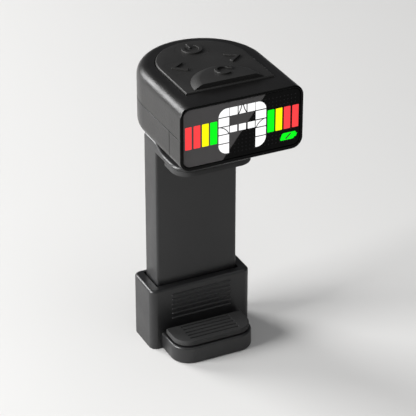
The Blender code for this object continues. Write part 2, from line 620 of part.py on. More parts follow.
def make_lower_jaw(jaw, plastic, rubber, steel):
    sleeve = prism(rounded_rectangle(-SLEEVE_HALF_WIDTH, SLEEVE_HALF_WIDTH, SLEEVE_FRONT_Y, SLEEVE_BACK_Y,
                                     1.5 * MM), JAW_LOW_Z, SLEEVE_TOP_Z)
    round_edges(sleeve, rim_at(SLEEVE_TOP_Z), 0.6 * MM, 2)
    foot = prism(clamp_plan(SLEEVE_FRONT_Y + 0.6 * MM), JAW_LOW_Z, JAW_TOP_Z)
    round_edges(foot, rim_at(JAW_TOP_Z), 0.4 * MM, 1)
    ears = []
    for side in (-1, 1):
        x0, x1 = sorted((side * LEVER_EAR_INNER_X, side * LEVER_EAR_OUTER_X))
        outline = arc((LEVER_Y, LEVER_Z), KNUCKLE_RADIUS, -90, 90, 8)
        outline += [(SLEEVE_BACK_Y - 0.5 * MM, LEVER_Z + KNUCKLE_RADIUS + 0.6 * MM),
                    (SLEEVE_BACK_Y - 0.5 * MM, LEVER_Z - KNUCKLE_RADIUS - 0.6 * MM)]
        ears.append(prism(outline, x0, x1, "X"))
    half_bore = CLAMP_HALF_WIDTH + 0.3 * MM
    post_bore = box(-half_bore, half_bore, POST_FRONT_Y - 0.3 * MM, POST_BACK_Y + 0.3 * MM,
                    JAW_LOW_Z - OVERSHOOT, SLEEVE_TOP_Z + OVERSHOOT)
    cap_pocket = box(-10.1 * MM, 10.1 * MM, 19.0 * MM, 27.1 * MM, JAW_LOW_Z - OVERSHOOT, -60.4 * MM)
    pawl_slot = box(-PAWL_SLOT_HALF_WIDTH, PAWL_SLOT_HALF_WIDTH, POST_BACK_Y,
                    SLEEVE_BACK_Y + OVERSHOOT, -59.6 * MM, -57.0 * MM)
    pin_hole = cylinder((LEVER_Y, LEVER_Z), PIN_RADIUS + FINE_GAP, -PIN_HOLE_HALF, PIN_HOLE_HALF, "X", 12)
    add_piece("lower_jaw", sleeve, plastic, jaw,
              joined(foot, *ears) + cut(post_bore, cap_pocket, pawl_slot, pin_hole))
    add_piece("lower_pad", pad_solid(LOWER_FACE_Z - PAD_THICKNESS), rubber, jaw)
    pin = cylinder((LEVER_Y, LEVER_Z), PIN_RADIUS, -5.7 * MM, 5.7 * MM, "X", 12)
    add_piece("lever_pin", pin, steel, jaw)
    spring = coil((LEVER_Y, LEVER_Z), 0.85 * MM, 0.12 * MM, -1.3 * MM, 1.3 * MM, 4)
    add_piece("lever_spring", spring, steel, jaw)


def make_lever(lever, plastic):
    """The release lever: a thumb tab above its pin and a pawl below it."""
    tab_top = LEVER_Z + 9.2 * MM
    outline = arc((LEVER_Y, LEVER_Z), KNUCKLE_RADIUS, 110, 235, 6)
    outline += [(28.2 * MM, LEVER_Z - 1.8 * MM), (28.2 * MM, LEVER_Z - 3.3 * MM),
                (29.2 * MM, LEVER_Z - 3.3 * MM)]
    outline += arc((LEVER_Y, LEVER_Z), KNUCKLE_RADIUS, -45, 0, 3)
    outline += [(29.85 * MM, LEVER_Z + 3 * MM), (29.85 * MM, tab_top - 1.2 * MM),
                (30.1 * MM, tab_top - 0.4 * MM), (30.0 * MM, tab_top), (29.1 * MM, tab_top),
                (28.9 * MM, LEVER_Z + 3 * MM)]
    pawl_outline = [(PAWL_TIP_Y, LEVER_Z - 2.5 * MM), (28.6 * MM, LEVER_Z - 2.2 * MM),
                    (28.6 * MM, LEVER_Z - 3.2 * MM), (PAWL_TIP_Y, LEVER_Z - 3.0 * MM)]
    pawl = prism(pawl_outline, -PAWL_HALF_WIDTH, PAWL_HALF_WIDTH, "X")
    spring_gap = box(-1.7 * MM, 1.7 * MM, 27.0 * MM, 31.0 * MM, LEVER_Z - 1.35 * MM, LEVER_Z + 1.35 * MM)
    pin_hole = cylinder((LEVER_Y, LEVER_Z), PIN_RADIUS + FINE_GAP, -PIN_HOLE_HALF, PIN_HOLE_HALF, "X", 12)
    add_piece("release_lever", prism(outline, -LEVER_HALF_WIDTH, LEVER_HALF_WIDTH, "X"), plastic, lever,
              joined(pawl) + cut(spring_gap, pin_hole))


# ---------------------------------------------------------------- assembly

def build():
    for obj in list(bpy.data.objects):
        bpy.data.objects.remove(obj)

    black = make_material("case_black", (0.012, 0.011, 0.011), 0.38)
    keypad_rubber = make_material("keypad_rubber", (0.030, 0.028, 0.027), 0.55)
    lens_plastic = make_material("lens_acrylic", (0.01, 0.01, 0.011), 0.06)
    glass = make_material("display_glass", (0.04, 0.04, 0.045), 0.1)
    white = make_material("light_guide", (0.8, 0.8, 0.78), 0.4)
    film = make_material("amber_film", (0.55, 0.25, 0.05), 0.4)
    board_green = make_material("board_green", (0.01, 0.12, 0.05), 0.45)
    chip_black = make_material("chip_epoxy", (0.02, 0.02, 0.02), 0.5)
    steel = make_material("steel", (0.6, 0.6, 0.6), 0.3, 1.0)
    brass = make_material("brass", (0.7, 0.5, 0.2), 0.35, 1.0)
    clamp_black = make_material("clamp_black", (0.014, 0.014, 0.014), 0.45)
    pad_rubber = make_material("pad_rubber", (0.02, 0.02, 0.02), 0.8)
    nylon = make_material("nylon", (0.03, 0.03, 0.03), 0.5)

    datum = make_empty("datum", (0, 0, 0))
    frame = make_empty("clamp", (0, POST_FRONT_Y, POST_TOP_Z), datum)
    turret = make_empty("pan_axis", (0, ARC_Y, SEAT_TOP_Z), frame)
    head = make_empty("tilt_axis", (0, ARC_Y, TILT_Z), turret)
    drawer = make_empty("drawer_axis", (0, DRAWER_FRONT_Y, PARTING_Z), head)
    jaw = make_empty("jaw_axis", (0, (POST_FRONT_Y + POST_BACK_Y) / 2, JAW_TOP_Z), frame)
    lever = make_empty("lever_axis", (0, LEVER_Y, LEVER_Z), jaw)

    make_case(head, black)
    make_display(head, lens_plastic, glass, white, film)
    make_keypad(head, keypad_rubber)
    make_electronics(head, board_green, chip_black, steel, brass)
    make_power(head, drawer, black, steel)
    make_case_screws(head, steel)
    make_swivel(head, turret, steel, clamp_black)
    make_upper_clamp(frame, clamp_black, pad_rubber, nylon, steel)
    make_lower_jaw(jaw, clamp_black, pad_rubber, steel)
    make_lever(lever, clamp_black)
    datum.location = (0, -CASE_DEPTH / 2, CASE_TOP_ABOVE_BASE)


build()
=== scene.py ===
# %% [markdown]
# # A clip-on tuner, finished in cells
# The tuner is a D-shaped plastic head with a lit display in its flat front and a rubber keypad
# on top. It stands on a small tilting swivel above a ratchet clamp that grips a violin's edge.
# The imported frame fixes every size, so this lesson only adds what the frame leaves plain:
# rounded mouldings, the display's lit segments, keypad symbols, ribs, teeth and finishes.

# %% Load the frame and keep its box
import json
import math

import bmesh
import bpy
from mathutils import Matrix, Vector

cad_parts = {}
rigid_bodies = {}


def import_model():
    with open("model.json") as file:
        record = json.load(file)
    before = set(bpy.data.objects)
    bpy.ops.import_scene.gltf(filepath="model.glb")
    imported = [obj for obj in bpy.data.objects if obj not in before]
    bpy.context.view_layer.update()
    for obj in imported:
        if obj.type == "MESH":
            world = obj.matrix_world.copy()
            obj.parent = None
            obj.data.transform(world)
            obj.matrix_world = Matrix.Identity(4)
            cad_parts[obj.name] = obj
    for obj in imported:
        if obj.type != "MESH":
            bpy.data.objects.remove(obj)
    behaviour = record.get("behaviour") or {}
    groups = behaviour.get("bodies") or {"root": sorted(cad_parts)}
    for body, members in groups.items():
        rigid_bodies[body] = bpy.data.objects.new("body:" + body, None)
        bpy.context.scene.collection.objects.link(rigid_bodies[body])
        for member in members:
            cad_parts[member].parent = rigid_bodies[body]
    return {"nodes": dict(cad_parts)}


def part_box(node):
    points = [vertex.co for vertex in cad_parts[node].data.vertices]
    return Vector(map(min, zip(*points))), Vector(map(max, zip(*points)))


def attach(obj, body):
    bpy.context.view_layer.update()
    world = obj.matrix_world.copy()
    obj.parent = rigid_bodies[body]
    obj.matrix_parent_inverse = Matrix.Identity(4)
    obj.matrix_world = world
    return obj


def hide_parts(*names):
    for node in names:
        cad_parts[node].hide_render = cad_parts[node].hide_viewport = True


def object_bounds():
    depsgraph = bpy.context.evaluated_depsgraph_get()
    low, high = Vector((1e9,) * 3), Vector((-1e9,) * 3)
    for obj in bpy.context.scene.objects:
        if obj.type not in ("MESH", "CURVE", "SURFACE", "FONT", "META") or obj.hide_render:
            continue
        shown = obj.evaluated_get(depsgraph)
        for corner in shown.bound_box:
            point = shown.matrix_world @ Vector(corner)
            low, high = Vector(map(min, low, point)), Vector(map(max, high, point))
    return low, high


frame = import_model()
cad_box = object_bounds()
MM = 0.001
print("frame box in mm:", [round(v / MM, 2) for corner in cad_box for v in corner])

# %% [markdown]
# Every shape below is drawn in the workshop's own coordinates: x across, y back from the
# display's face, z up from the flat top of the case. One vector, DATUM, carries a finished
# mesh from there into the frame. It is read from the frame's own shell, so nothing is fitted.

# %% Datum and the head's main sizes
shell_low, shell_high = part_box("top_shell")
drawer_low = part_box("battery_drawer")[0]
DATUM = Vector((0, shell_low.y, shell_high.z))
HALF_GAP = 0.125 * MM  # the frame leaves a quarter of a millimetre between two mouldings
RAIL_GAP = 0.1 * MM  # and this much under the drawer
HALF_WIDTH = shell_high.x
CASE_DEPTH = shell_high.y - shell_low.y
ARC_Y = CASE_DEPTH - HALF_WIDTH
CASE_HEIGHT = shell_high.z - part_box("base_shell")[0].z
PARTING_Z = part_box("base_shell")[1].z + HALF_GAP - DATUM.z
FLOOR_Z = drawer_low.z - DATUM.z - RAIL_GAP
DRAWER_Y = drawer_low.y - DATUM.y - HALF_GAP
EDGE_RADIUS = 2.3 * MM
WALL = 1.2 * MM
SEAM = 0.12 * MM
print("case in mm:", [round(v / MM, 2) for v in (2 * HALF_WIDTH, CASE_DEPTH, CASE_HEIGHT)])

# %% [markdown]
# The camera comes early, because it decides which details count. A long lens from the front
# left, about 27 degrees round and 28 degrees up, shows the lit face, the keypad and one side
# together, and the perspective stays as mild as in a product shot.

# %% Camera
EYE_FROM_DATUM = Vector((-156.4, -309.6, 168.4)) * MM
middle = (cad_box[0] + cad_box[1]) / 2
eye = DATUM + EYE_FROM_DATUM
camera = bpy.data.objects.new("studio_camera", bpy.data.cameras.new("studio_camera"))
camera.location = eye
camera.rotation_mode = "QUATERNION"
camera.rotation_quaternion = (middle - eye).to_track_quat("-Z", "Y")
camera.data.lens = 178
camera.data.sensor_width = 36
camera.data.clip_start = 0.01
bpy.context.scene.collection.objects.link(camera)
bpy.context.scene.camera = camera
print("camera to object in mm:", round((middle - eye).length / MM))

# %% [markdown]
# Moulded parts are extrusions with rounded edges. A few outline helpers cover all of them:
# arcs, the D of the case, rectangles with round corners, and an extrusion along any axis.
# Curves could do the same, but bmesh keeps every face under control for the later cuts.

# %% Outline helpers
def arc(center, radius, start, end, steps):
    angles = [math.radians(start + (end - start) * i / steps) for i in range(steps + 1)]
    return [(center[0] + radius * math.cos(a), center[1] + radius * math.sin(a)) for a in angles]


def d_outline(half_width, front_y, steps=72):
    return [(-half_width, front_y), (half_width, front_y)] + arc((0, ARC_Y), half_width, 0, 180, steps)


def rounded_rectangle(x0, x1, y0, y1, radius, steps=8):
    points = []
    corners = [((x1 - radius, y0 + radius), -90), ((x1 - radius, y1 - radius), 0),
               ((x0 + radius, y1 - radius), 90), ((x0 + radius, y0 + radius), 180)]
    for center, start in corners:
        points += arc(center, radius, start, start + 90, steps)
    return points


def prism(outline, low, high, axis="Z"):
    """Extrudes an outline along an axis; for X it is (y, z), for Y it is (x, z)."""
    place = {"Z": lambda u, v, w: (u, v, w),
             "X": lambda u, v, w: (w, u, v),
             "Y": lambda u, v, w: (u, w, v)}[axis]
    bm = bmesh.new()
    rings = [[bm.verts.new(place(u, v, w)) for u, v in outline] for w in (low, high)]
    for ring in rings:
        bm.faces.new(ring)
    for i in range(len(outline)):
        j = (i + 1) % len(outline)
        bm.faces.new((rings[0][i], rings[0][j], rings[1][j], rings[1][i]))
    bmesh.ops.recalc_face_normals(bm, faces=bm.faces)
    return bm


def block(x0, x1, y0, y1, z0, z1):
    return prism([(x0, y0), (x1, y0), (x1, y1), (x0, y1)], z0, z1)


def rod(center, radius, low, high, axis="Z", sides=40):
    return prism(arc(center, radius, 0, 360 - 360 / sides, sides - 1), low, high, axis)


print("a D outline has", len(d_outline(HALF_WIDTH, 0)), "points")

# %% [markdown]
# Real mouldings have no sharp edges. Large radii are rolled straight into the mesh with the
# bevel operator, on edges picked by where they lie, such as all level edges at one height.

# %% Rounding helpers
def round_edges(bm, wanted, radius, steps):
    chosen = []
    for edge in bm.edges:
        a, b = (vert.co for vert in edge.verts)
        if wanted((a + b) / 2, (b - a).normalized()):
            chosen.append(edge)
    bmesh.ops.bevel(bm, geom=chosen, offset=radius, offset_type="OFFSET", segments=steps,
                    profile=0.5, affect="EDGES", clamp_overlap=True)


def level_at(z):
    return lambda mid, way: abs(mid.z - z) < 0.01 * MM and abs(way.z) < 0.1


def loose_object(name, bm):
    mesh = bpy.data.meshes.new(name)
    bm.to_mesh(mesh)
    bm.free()
    obj = bpy.data.objects.new(name, mesh)
    bpy.context.scene.collection.objects.link(obj)
    return obj


print("rounding helpers ready")

# %% [markdown]
# Holes, slots and pockets are Boolean cuts, as a mould's cores leave them. Each step names an
# operation and a tool mesh. The result is read back as a plain mesh and cleaned of the tiny
# slivers that exact cuts can leave, so that the later edge rounding has nothing to trip over.

# %% Boolean helper
SLIVER = 0.002 * MM


def carve(name, bm, steps):
    """Runs Boolean steps in order and returns one plain mesh object, still in datum coordinates."""
    obj = loose_object(name, bm)
    tools = []
    for operation, tool_bm in steps:
        tool = loose_object(name + "_tool", tool_bm)
        tools.append(tool)
        modifier = obj.modifiers.new(operation, "BOOLEAN")
        modifier.operation = operation
        modifier.object = tool
    graph = bpy.context.evaluated_depsgraph_get()
    result = bpy.data.meshes.new_from_object(obj.evaluated_get(graph))
    obj.modifiers.clear()
    obj.data = result
    for tool in tools:
        bpy.data.objects.remove(tool)
    clean = bmesh.new()
    clean.from_mesh(result)
    bmesh.ops.remove_doubles(clean, verts=clean.verts, dist=SLIVER)
    bmesh.ops.dissolve_degenerate(clean, edges=clean.edges, dist=SLIVER)
    clean.to_mesh(result)
    clean.free()
    return obj


def merged(parts):
    """Puts several bmeshes into one, as separate shells, and frees them."""
    whole = bmesh.new()
    for part in parts:
        mesh = bpy.data.meshes.new("part")
        part.to_mesh(mesh)
        part.free()
        whole.from_mesh(mesh)
        bpy.data.meshes.remove(mesh)
    return whole


print("cuts are cleaned below", SLIVER / MM, "mm")

# %% [markdown]
# The last step is the same for every piece. Its mesh moves to its place in the frame, takes its
# finishes and its small edge rounding of a tenth of a millimetre or less, and rides on its
# body. A Weighted Normal modifier after the Bevel modifier keeps the flats looking flat.

# %% Finishing helper
def finish_piece(obj, body, materials, replaces=(), bevel=0.0, segments=2, angle=32, choose=None):
    """Moves a mesh to its place, rounds its small edges, and hands it to its body."""
    obj.data.transform(Matrix.Translation(DATUM))
    obj.data.materials.clear()
    for material in materials:
        obj.data.materials.append(material)
    if choose:
        for polygon in obj.data.polygons:
            polygon.material_index = choose(polygon)
    obj.data.shade_smooth()
    if bevel:
        rounding = obj.modifiers.new("small_edges", "BEVEL")
        rounding.width = bevel
        rounding.segments = segments
        rounding.limit_method = "ANGLE"
        rounding.angle_limit = math.radians(angle)
        rounding.use_clamp_overlap = False
        rounding.harden_normals = False
        flats = obj.modifiers.new("flat_faces", "WEIGHTED_NORMAL")
        flats.keep_sharp = True
    else:
        obj.data.set_sharp_from_angle(angle=math.radians(angle))
    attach(obj, body)
    if replaces:
        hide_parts(*replaces)
        report_fit(obj, replaces[0])


def report_fit(obj, node):
    """Prints how far a finished piece stands outside the node that it replaces."""
    shape = obj.evaluated_get(bpy.context.evaluated_depsgraph_get()).data
    low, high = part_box(node)
    over = max(max(low[k] - vert.co[k], vert.co[k] - high[k]) for vert in shape.vertices for k in range(3))
    print(f"{obj.name}: {len(shape.polygons)} faces, {over / MM:.3f} mm outside {node}")


print("finishing helper ready")

# %% [markdown]
# A finish is a small node tree. All of them share a pattern: object coordinates drive a noise,
# the noise bends the colour a little, the roughness a little more, and the surface height by
# a few hundredths of a millimetre. Constant values sit on the shader's own sockets.

# %% Finish helper
BROAD_TO_FINE = 18  # the blotches are this many times larger than the grain
NOISE_RANGE = (0.3, 0.7)  # where nearly all of a noise texture's values lie
COAT_ROUGHNESS = 0.08


def finish(name, color, roughness, metallic=0.0, grain=3000.0, depth=0.004, spread=0.06, shade=0.15,
           specular=0.5, coat=0.0):
    """A moulded or machined finish; grain is the noise scale per metre, depth is in mm."""
    material = bpy.data.materials.new(name)
    material.use_nodes = True
    nodes = material.node_tree.nodes
    links = material.node_tree.links
    shader = nodes["Principled BSDF"]
    shader.inputs["Metallic"].default_value = metallic
    shader.inputs["Specular IOR Level"].default_value = specular
    shader.inputs["Coat Weight"].default_value = coat
    shader.inputs["Coat Roughness"].default_value = COAT_ROUGHNESS
    place = nodes.new("ShaderNodeTexCoord")
    fine = nodes.new("ShaderNodeTexNoise")
    fine.inputs["Scale"].default_value = grain
    fine.inputs["Detail"].default_value = 3.0
    broad = nodes.new("ShaderNodeTexNoise")
    broad.inputs["Scale"].default_value = grain / BROAD_TO_FINE
    broad.inputs["Detail"].default_value = 4.0
    for noise in (fine, broad):
        links.new(place.outputs["Object"], noise.inputs["Vector"])
    tone = nodes.new("ShaderNodeMix")
    tone.data_type = "RGBA"
    tone.inputs[6].default_value = (*[c * (1 - shade) for c in color], 1)
    tone.inputs[7].default_value = (*[min(1, c * (1 + shade)) for c in color], 1)
    links.new(broad.outputs["Fac"], tone.inputs[0])
    links.new(tone.outputs[2], shader.inputs["Base Color"])
    gloss = nodes.new("ShaderNodeMapRange")
    gloss.inputs["From Min"].default_value = NOISE_RANGE[0]
    gloss.inputs["From Max"].default_value = NOISE_RANGE[1]
    gloss.inputs["To Min"].default_value = roughness - spread
    gloss.inputs["To Max"].default_value = roughness + spread
    links.new(broad.outputs["Fac"], gloss.inputs["Value"])
    links.new(gloss.outputs["Result"], shader.inputs["Roughness"])
    bump = nodes.new("ShaderNodeBump")
    bump.inputs["Strength"].default_value = 1.0
    bump.inputs["Distance"].default_value = depth * MM
    links.new(fine.outputs["Fac"], bump.inputs["Height"])
    links.new(bump.outputs["Normal"], shader.inputs["Normal"])
    return material


print("finish helper ready")

# %% [markdown]
# The case is near-black ABS with a fine spark-eroded texture, satin rather than matt. Its
# front rim is polished. The clamp is the same plastic in a coarser texture, and the keypad and
# pads are silicone, which scatters light and hardly shines.

# %% Plastic and rubber finishes
case_satin = finish("case_satin", (0.008, 0.0076, 0.0074), 0.34, grain=2700, depth=0.036, shade=0.25,
                    specular=0.38)
bezel_gloss = finish("bezel_gloss", (0.001, 0.001, 0.001), 0.12, grain=900, depth=0.001, spread=0.03,
                     specular=0.10)
keypad_silicone = finish("keypad_silicone", (0.017, 0.0165, 0.016), 0.46, grain=2700, depth=0.020,
                         specular=0.38)
clamp_grain = finish("clamp_grain", (0.012, 0.012, 0.0125), 0.38, grain=2800, depth=0.024, specular=0.52)
grip_rubber = finish("grip_rubber", (0.022, 0.022, 0.022), 0.78, grain=2600, depth=0.020)
dark_nylon = finish("dark_nylon", (0.020, 0.020, 0.021), 0.50, grain=2400, depth=0.010, specular=0.3)
print("plastics ready")

# %% [markdown]
# The small metal and electronic parts show when the drawer is pulled or the head is tilted:
# nickel-plated steel, a brass sensor disc, a green board, black epoxy and amber film.

# %% Metal and electronics finishes
nickel_steel = finish("nickel_steel", (0.62, 0.61, 0.59), 0.28, metallic=1.0, grain=1800, depth=0.003)
sensor_brass = finish("sensor_brass", (0.72, 0.53, 0.24), 0.30, metallic=1.0, grain=1500, depth=0.003)
solder_mask = finish("solder_mask", (0.012, 0.11, 0.045), 0.35, grain=1400, depth=0.006, coat=0.3)
black_epoxy = finish("black_epoxy", (0.02, 0.02, 0.022), 0.55, grain=5000, depth=0.006)
flex_film = finish("flex_film", (0.50, 0.22, 0.04), 0.32, grain=900, depth=0.003)
guide_acrylic = finish("guide_acrylic", (0.80, 0.80, 0.77), 0.35, grain=1500, depth=0.004)
panel_glass = finish("panel_glass", (0.035, 0.037, 0.04), 0.12, grain=800, depth=0.001)
print("metals and electronics ready")

# %% [markdown]
# The display lies behind a smoked acrylic window. Its left part carries a painted reflection:
# a dark grey that stands in for a light mirrored in the glass, and the rest stays black, with
# a slanting border between the two. The painted reflection is drawn on the window's own
# coordinates: a slanted step in x and z that mixes the black with the painted grey.

# %% Smoked window with painted reflection
SLANT = 9.0 / 12.0
SLANT_FOOT_X, SLANT_FOOT_Z = -4.0 * MM, -12.5 * MM
SLANT_BLUR = (-0.05 * MM, 0.25 * MM)
# painted reflection: the grey stands in for a reflection in the glass, the dark is the window's own black
WINDOW_DARK = (0.0015, 0.0015, 0.0016, 1)
PAINTED_REFLECTION_GREY = (0.105, 0.101, 0.102, 1)


# the window's finish, with a painted grey reflection on its left part
def make_window_with_painted_reflection():
    material = finish("smoked_window_painted_reflection", (0.004, 0.004, 0.004), 0.09, grain=700, depth=0.0006, spread=0.02,
                      specular=0.08)
    nodes = material.node_tree.nodes
    links = material.node_tree.links
    shader = nodes["Principled BSDF"]
    place = nodes.new("ShaderNodeTexCoord")
    split = nodes.new("ShaderNodeSeparateXYZ")
    links.new(place.outputs["Object"], split.inputs["Vector"])
    slant = nodes.new("ShaderNodeMath")
    slant.operation = "MULTIPLY_ADD"
    foot = SLANT_FOOT_X - SLANT * (DATUM.z + SLANT_FOOT_Z)
    links.new(split.outputs["Z"], slant.inputs[0])
    slant.inputs[1].default_value = SLANT
    slant.inputs[2].default_value = foot
    side = nodes.new("ShaderNodeMath")
    side.operation = "SUBTRACT"
    links.new(slant.outputs[0], side.inputs[0])
    links.new(split.outputs["X"], side.inputs[1])
    edge = nodes.new("ShaderNodeMapRange")
    edge.inputs["From Min"].default_value = SLANT_BLUR[0]
    edge.inputs["From Max"].default_value = SLANT_BLUR[1]
    links.new(side.outputs[0], edge.inputs["Value"])
    # mixes the window's black with the painted reflection's grey across the slant
    tone = nodes.new("ShaderNodeMix")
    tone.data_type = "RGBA"
    tone.inputs[6].default_value = WINDOW_DARK
    tone.inputs[7].default_value = PAINTED_REFLECTION_GREY
    links.new(edge.outputs["Result"], tone.inputs[0])
    links.new(tone.outputs[2], shader.inputs["Base Color"])
    return material


smoked_window_painted_reflection = make_window_with_painted_reflection()
print("window finish:", len(smoked_window_painted_reflection.node_tree.nodes), "nodes")

# %% [markdown]
# Lit segments glow evenly, because a light guide spreads the light behind them. Each colour is
# an emission just under full brightness, so that it reads as lit and keeps its pure colour.
# The unlit parts of the display are a dark grey without emission.

# %% Lit segment finishes
GLOW = 0.95


def lit(name, color):
    material = finish(name, [0.25 * c for c in color], 0.25, grain=1200, depth=0.001, specular=0.1)
    shader = material.node_tree.nodes["Principled BSDF"]
    shader.inputs["Emission Color"].default_value = (*color, 1)
    shader.inputs["Emission Strength"].default_value = GLOW
    return material


lit_white = lit("lit_white", (1.0, 1.0, 1.0))
lit_red = lit("lit_red", (1.0, 0.055, 0.060))
lit_yellow = lit("lit_yellow", (1.0, 0.95, 0.0))
lit_green = lit("lit_green", (0.0, 0.95, 0.01))
segment_dark = finish("segment_dark", (0.02, 0.02, 0.021), 0.3, grain=900, depth=0.001)
print("lit finishes ready")

# %% [markdown]
# The case is one D-shaped body that the factory splits into three mouldings. It is made here
# the same way: one rounded solid, cut flat at the front, and then shared out between the top
# shell, the base and the battery drawer, so that the rounded edges run on from one to the next.

# %% The whole case as one rounded solid
FRONT_EDGE = 0.3 * MM


def case_solid():
    bm = prism(d_outline(HALF_WIDTH, -2 * EDGE_RADIUS), -CASE_HEIGHT, 0)
    for z in (0, -CASE_HEIGHT):
        round_edges(bm, level_at(z), EDGE_RADIUS, 9)
    geometry = bm.verts[:] + bm.edges[:] + bm.faces[:]
    bmesh.ops.bisect_plane(bm, geom=geometry, plane_co=(0, 0, 0), plane_no=(0, -1, 0), clear_outer=True)
    bmesh.ops.holes_fill(bm, edges=[edge for edge in bm.edges if edge.is_boundary])
    bmesh.ops.recalc_face_normals(bm, faces=bm.faces)
    front = min(bm.faces, key=lambda face: face.normal.y + face.calc_center_median().y)
    bmesh.ops.bevel(bm, geom=list(front.edges), offset=FRONT_EDGE, offset_type="OFFSET", segments=3,
                    profile=0.5, affect="EDGES", clamp_overlap=True)
    return bm


def slab(z0, z1, y0=-10 * MM):
    """A slice that reaches past the case on every side."""
    return block(-20 * MM, 20 * MM, y0, 40 * MM, z0, z1)


WINDOW = {"x": 12.35 * MM, "top": -0.5 * MM, "low": -12.65 * MM, "radius": 1.5 * MM, "depth": 2.0 * MM}


def window_hole():
    outline = rounded_rectangle(-WINDOW["x"], WINDOW["x"], WINDOW["low"], WINDOW["top"], WINDOW["radius"])
    return prism(outline, -2 * MM, WINDOW["depth"], "Y")


print("case solid faces:", len(case_solid().faces))

# %% [markdown]
# The top shell keeps everything above the parting line. It is hollow, with a window in front
# and a D-shaped opening for the keypad. Its front rim is polished, so faces that look forward
# at the very front take the glossy finish.

# %% Top shell
KEYPAD_HALF = 9.3 * MM
KEYPAD_FRONT = 5.2 * MM
KEYPAD_CLEARANCE = 0.16 * MM
ROOF = 1.3 * MM
BOSS_X, BOSS_Y = 10 * MM, 7 * MM
BOSS_RADIUS = 1.3 * MM
REVEAL_DEPTH = 2.05 * MM


def glossy_front(polygon):
    """Picks the second finish for the front rim and the window's reveal."""
    front = polygon.center.y - DATUM.y < REVEAL_DEPTH
    inside = abs(polygon.center.x) < WINDOW["x"] + 0.02 * MM
    return 1 if front and (polygon.normal.y < -0.3 or inside and abs(polygon.normal.y) < 0.3
                           and polygon.center.z - DATUM.z < -0.3 * MM) else 0


inner = HALF_WIDTH - WALL
boss_steps = []
for side in (-1, 1):
    boss_steps.append(("UNION", rod((side * BOSS_X, BOSS_Y), BOSS_RADIUS, FLOOR_Z + 0.2 * MM, -2.3 * MM)))
    ends = sorted((side * BOSS_X, side * (inner + 0.5 * MM)))
    boss_steps.append(("UNION", block(*ends, BOSS_Y - 0.9 * MM, BOSS_Y + 0.9 * MM, PARTING_Z + WALL,
                                      -2.5 * MM)))
top_shell = carve("top_shell_moulding", case_solid(), [
    ("INTERSECT", slab(PARTING_Z + SEAM / 2, 5 * MM)),
    ("DIFFERENCE", prism(d_outline(inner, WINDOW["depth"] - 0.1 * MM), -15 * MM, -ROOF)),
    ("DIFFERENCE", window_hole()),
    ("DIFFERENCE", prism(d_outline(KEYPAD_HALF + KEYPAD_CLEARANCE, KEYPAD_FRONT - KEYPAD_CLEARANCE),
                         -5 * MM, 5 * MM)),
] + boss_steps)
finish_piece(top_shell, "head", [case_satin, bezel_gloss], ["top_shell"], bevel=0.07 * MM,
             choose=glossy_front)
print("top shell polygons:", len(top_shell.data.polygons))

# %% [markdown]
# The base is the front block below the parting line and the floor that runs under the drawer.
# It has counterbored screw holes from below and a shallow round pocket for the sensor disc.

# %% Base shell
SCREW_HOLE = 0.85 * MM
COUNTERBORE, COUNTERBORE_DEPTH = 1.6 * MM, 0.7 * MM
SENSOR_POCKET = 5.2 * MM
hole_steps = []
for side in (-1, 1):
    place = (side * BOSS_X, BOSS_Y)
    hole_steps.append(("DIFFERENCE", rod(place, SCREW_HOLE, -20 * MM, -10 * MM)))
    hole_steps.append(("DIFFERENCE", rod(place, COUNTERBORE, -20 * MM, -CASE_HEIGHT + COUNTERBORE_DEPTH)))
base_shell = carve("base_moulding", case_solid(), [
    ("INTERSECT", slab(-20 * MM, PARTING_Z - SEAM / 2)),
    ("DIFFERENCE", slab(FLOOR_Z, 0, DRAWER_Y - SEAM / 2)),
    ("DIFFERENCE", block(-inner, inner, WINDOW["depth"] - 0.1 * MM, 12 * MM, FLOOR_Z, 0)),
    ("DIFFERENCE", window_hole()),
    ("DIFFERENCE", rod((0, ARC_Y), SENSOR_POCKET, FLOOR_Z - 0.6 * MM, 0)),
] + hole_steps)
finish_piece(base_shell, "head", [case_satin, bezel_gloss], ["base_shell"], bevel=0.07 * MM,
             choose=glossy_front)
print("base polygons:", len(base_shell.data.polygons))

# %% [markdown]
# Two part cases lap at the joint so that no light shines through it. The front frame is the one
# place where the seam would show daylight, so a small lip stands behind it on each side.

# %% Lip behind the seam
lip_height = SEAM / 2 + 0.12 * MM
lips = [block(*sorted((side * (WINDOW["x"] + 0.02 * MM), side * (HALF_WIDTH - 0.09 * MM))),
              0.1 * MM, WINDOW["depth"] + 0.5 * MM, PARTING_Z - lip_height, PARTING_Z + lip_height)
        for side in (-1, 1)]
seam_lip = carve("seam_lip", lips[0], [("UNION", lips[1])])
finish_piece(seam_lip, "head", [bezel_gloss], bevel=0.03 * MM)
print("lip height in mm:", round(2 * lip_height / MM, 2))

# %% [markdown]
# The battery drawer is the U-shaped rear of the lower case. It slides out backwards with the
# coin cell in a round pocket. Nine upright grooves at the back give a finger something to pull.

# %% Battery drawer
GROOVE_RADIUS = 0.36 * MM
GROOVE_MARGIN = 1.0 * MM
CELL_POCKET = 10.25 * MM
cell_low, cell_high = (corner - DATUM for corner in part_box("coin_cell"))
grip_cuts = []
for place in arc((0, ARC_Y), HALF_WIDTH + 0.12 * MM, 72, 108, 8):
    grip_cuts.append(("DIFFERENCE", rod(place, GROOVE_RADIUS, FLOOR_Z + GROOVE_MARGIN,
                                        PARTING_Z - GROOVE_MARGIN, sides=20)))
drawer = carve("drawer_moulding", case_solid(), [
    ("INTERSECT", block(-20 * MM, 20 * MM, DRAWER_Y + SEAM / 2, 40 * MM, FLOOR_Z + 0.08 * MM,
                        PARTING_Z - SEAM / 2)),
    ("DIFFERENCE", rod((0, ARC_Y), CELL_POCKET, cell_low.z - 0.25 * MM, 0, sides=72)),
    ("DIFFERENCE", block(-inner + 0.1 * MM, inner - 0.1 * MM, 0, 9 * MM, -20 * MM, 0)),
] + grip_cuts)
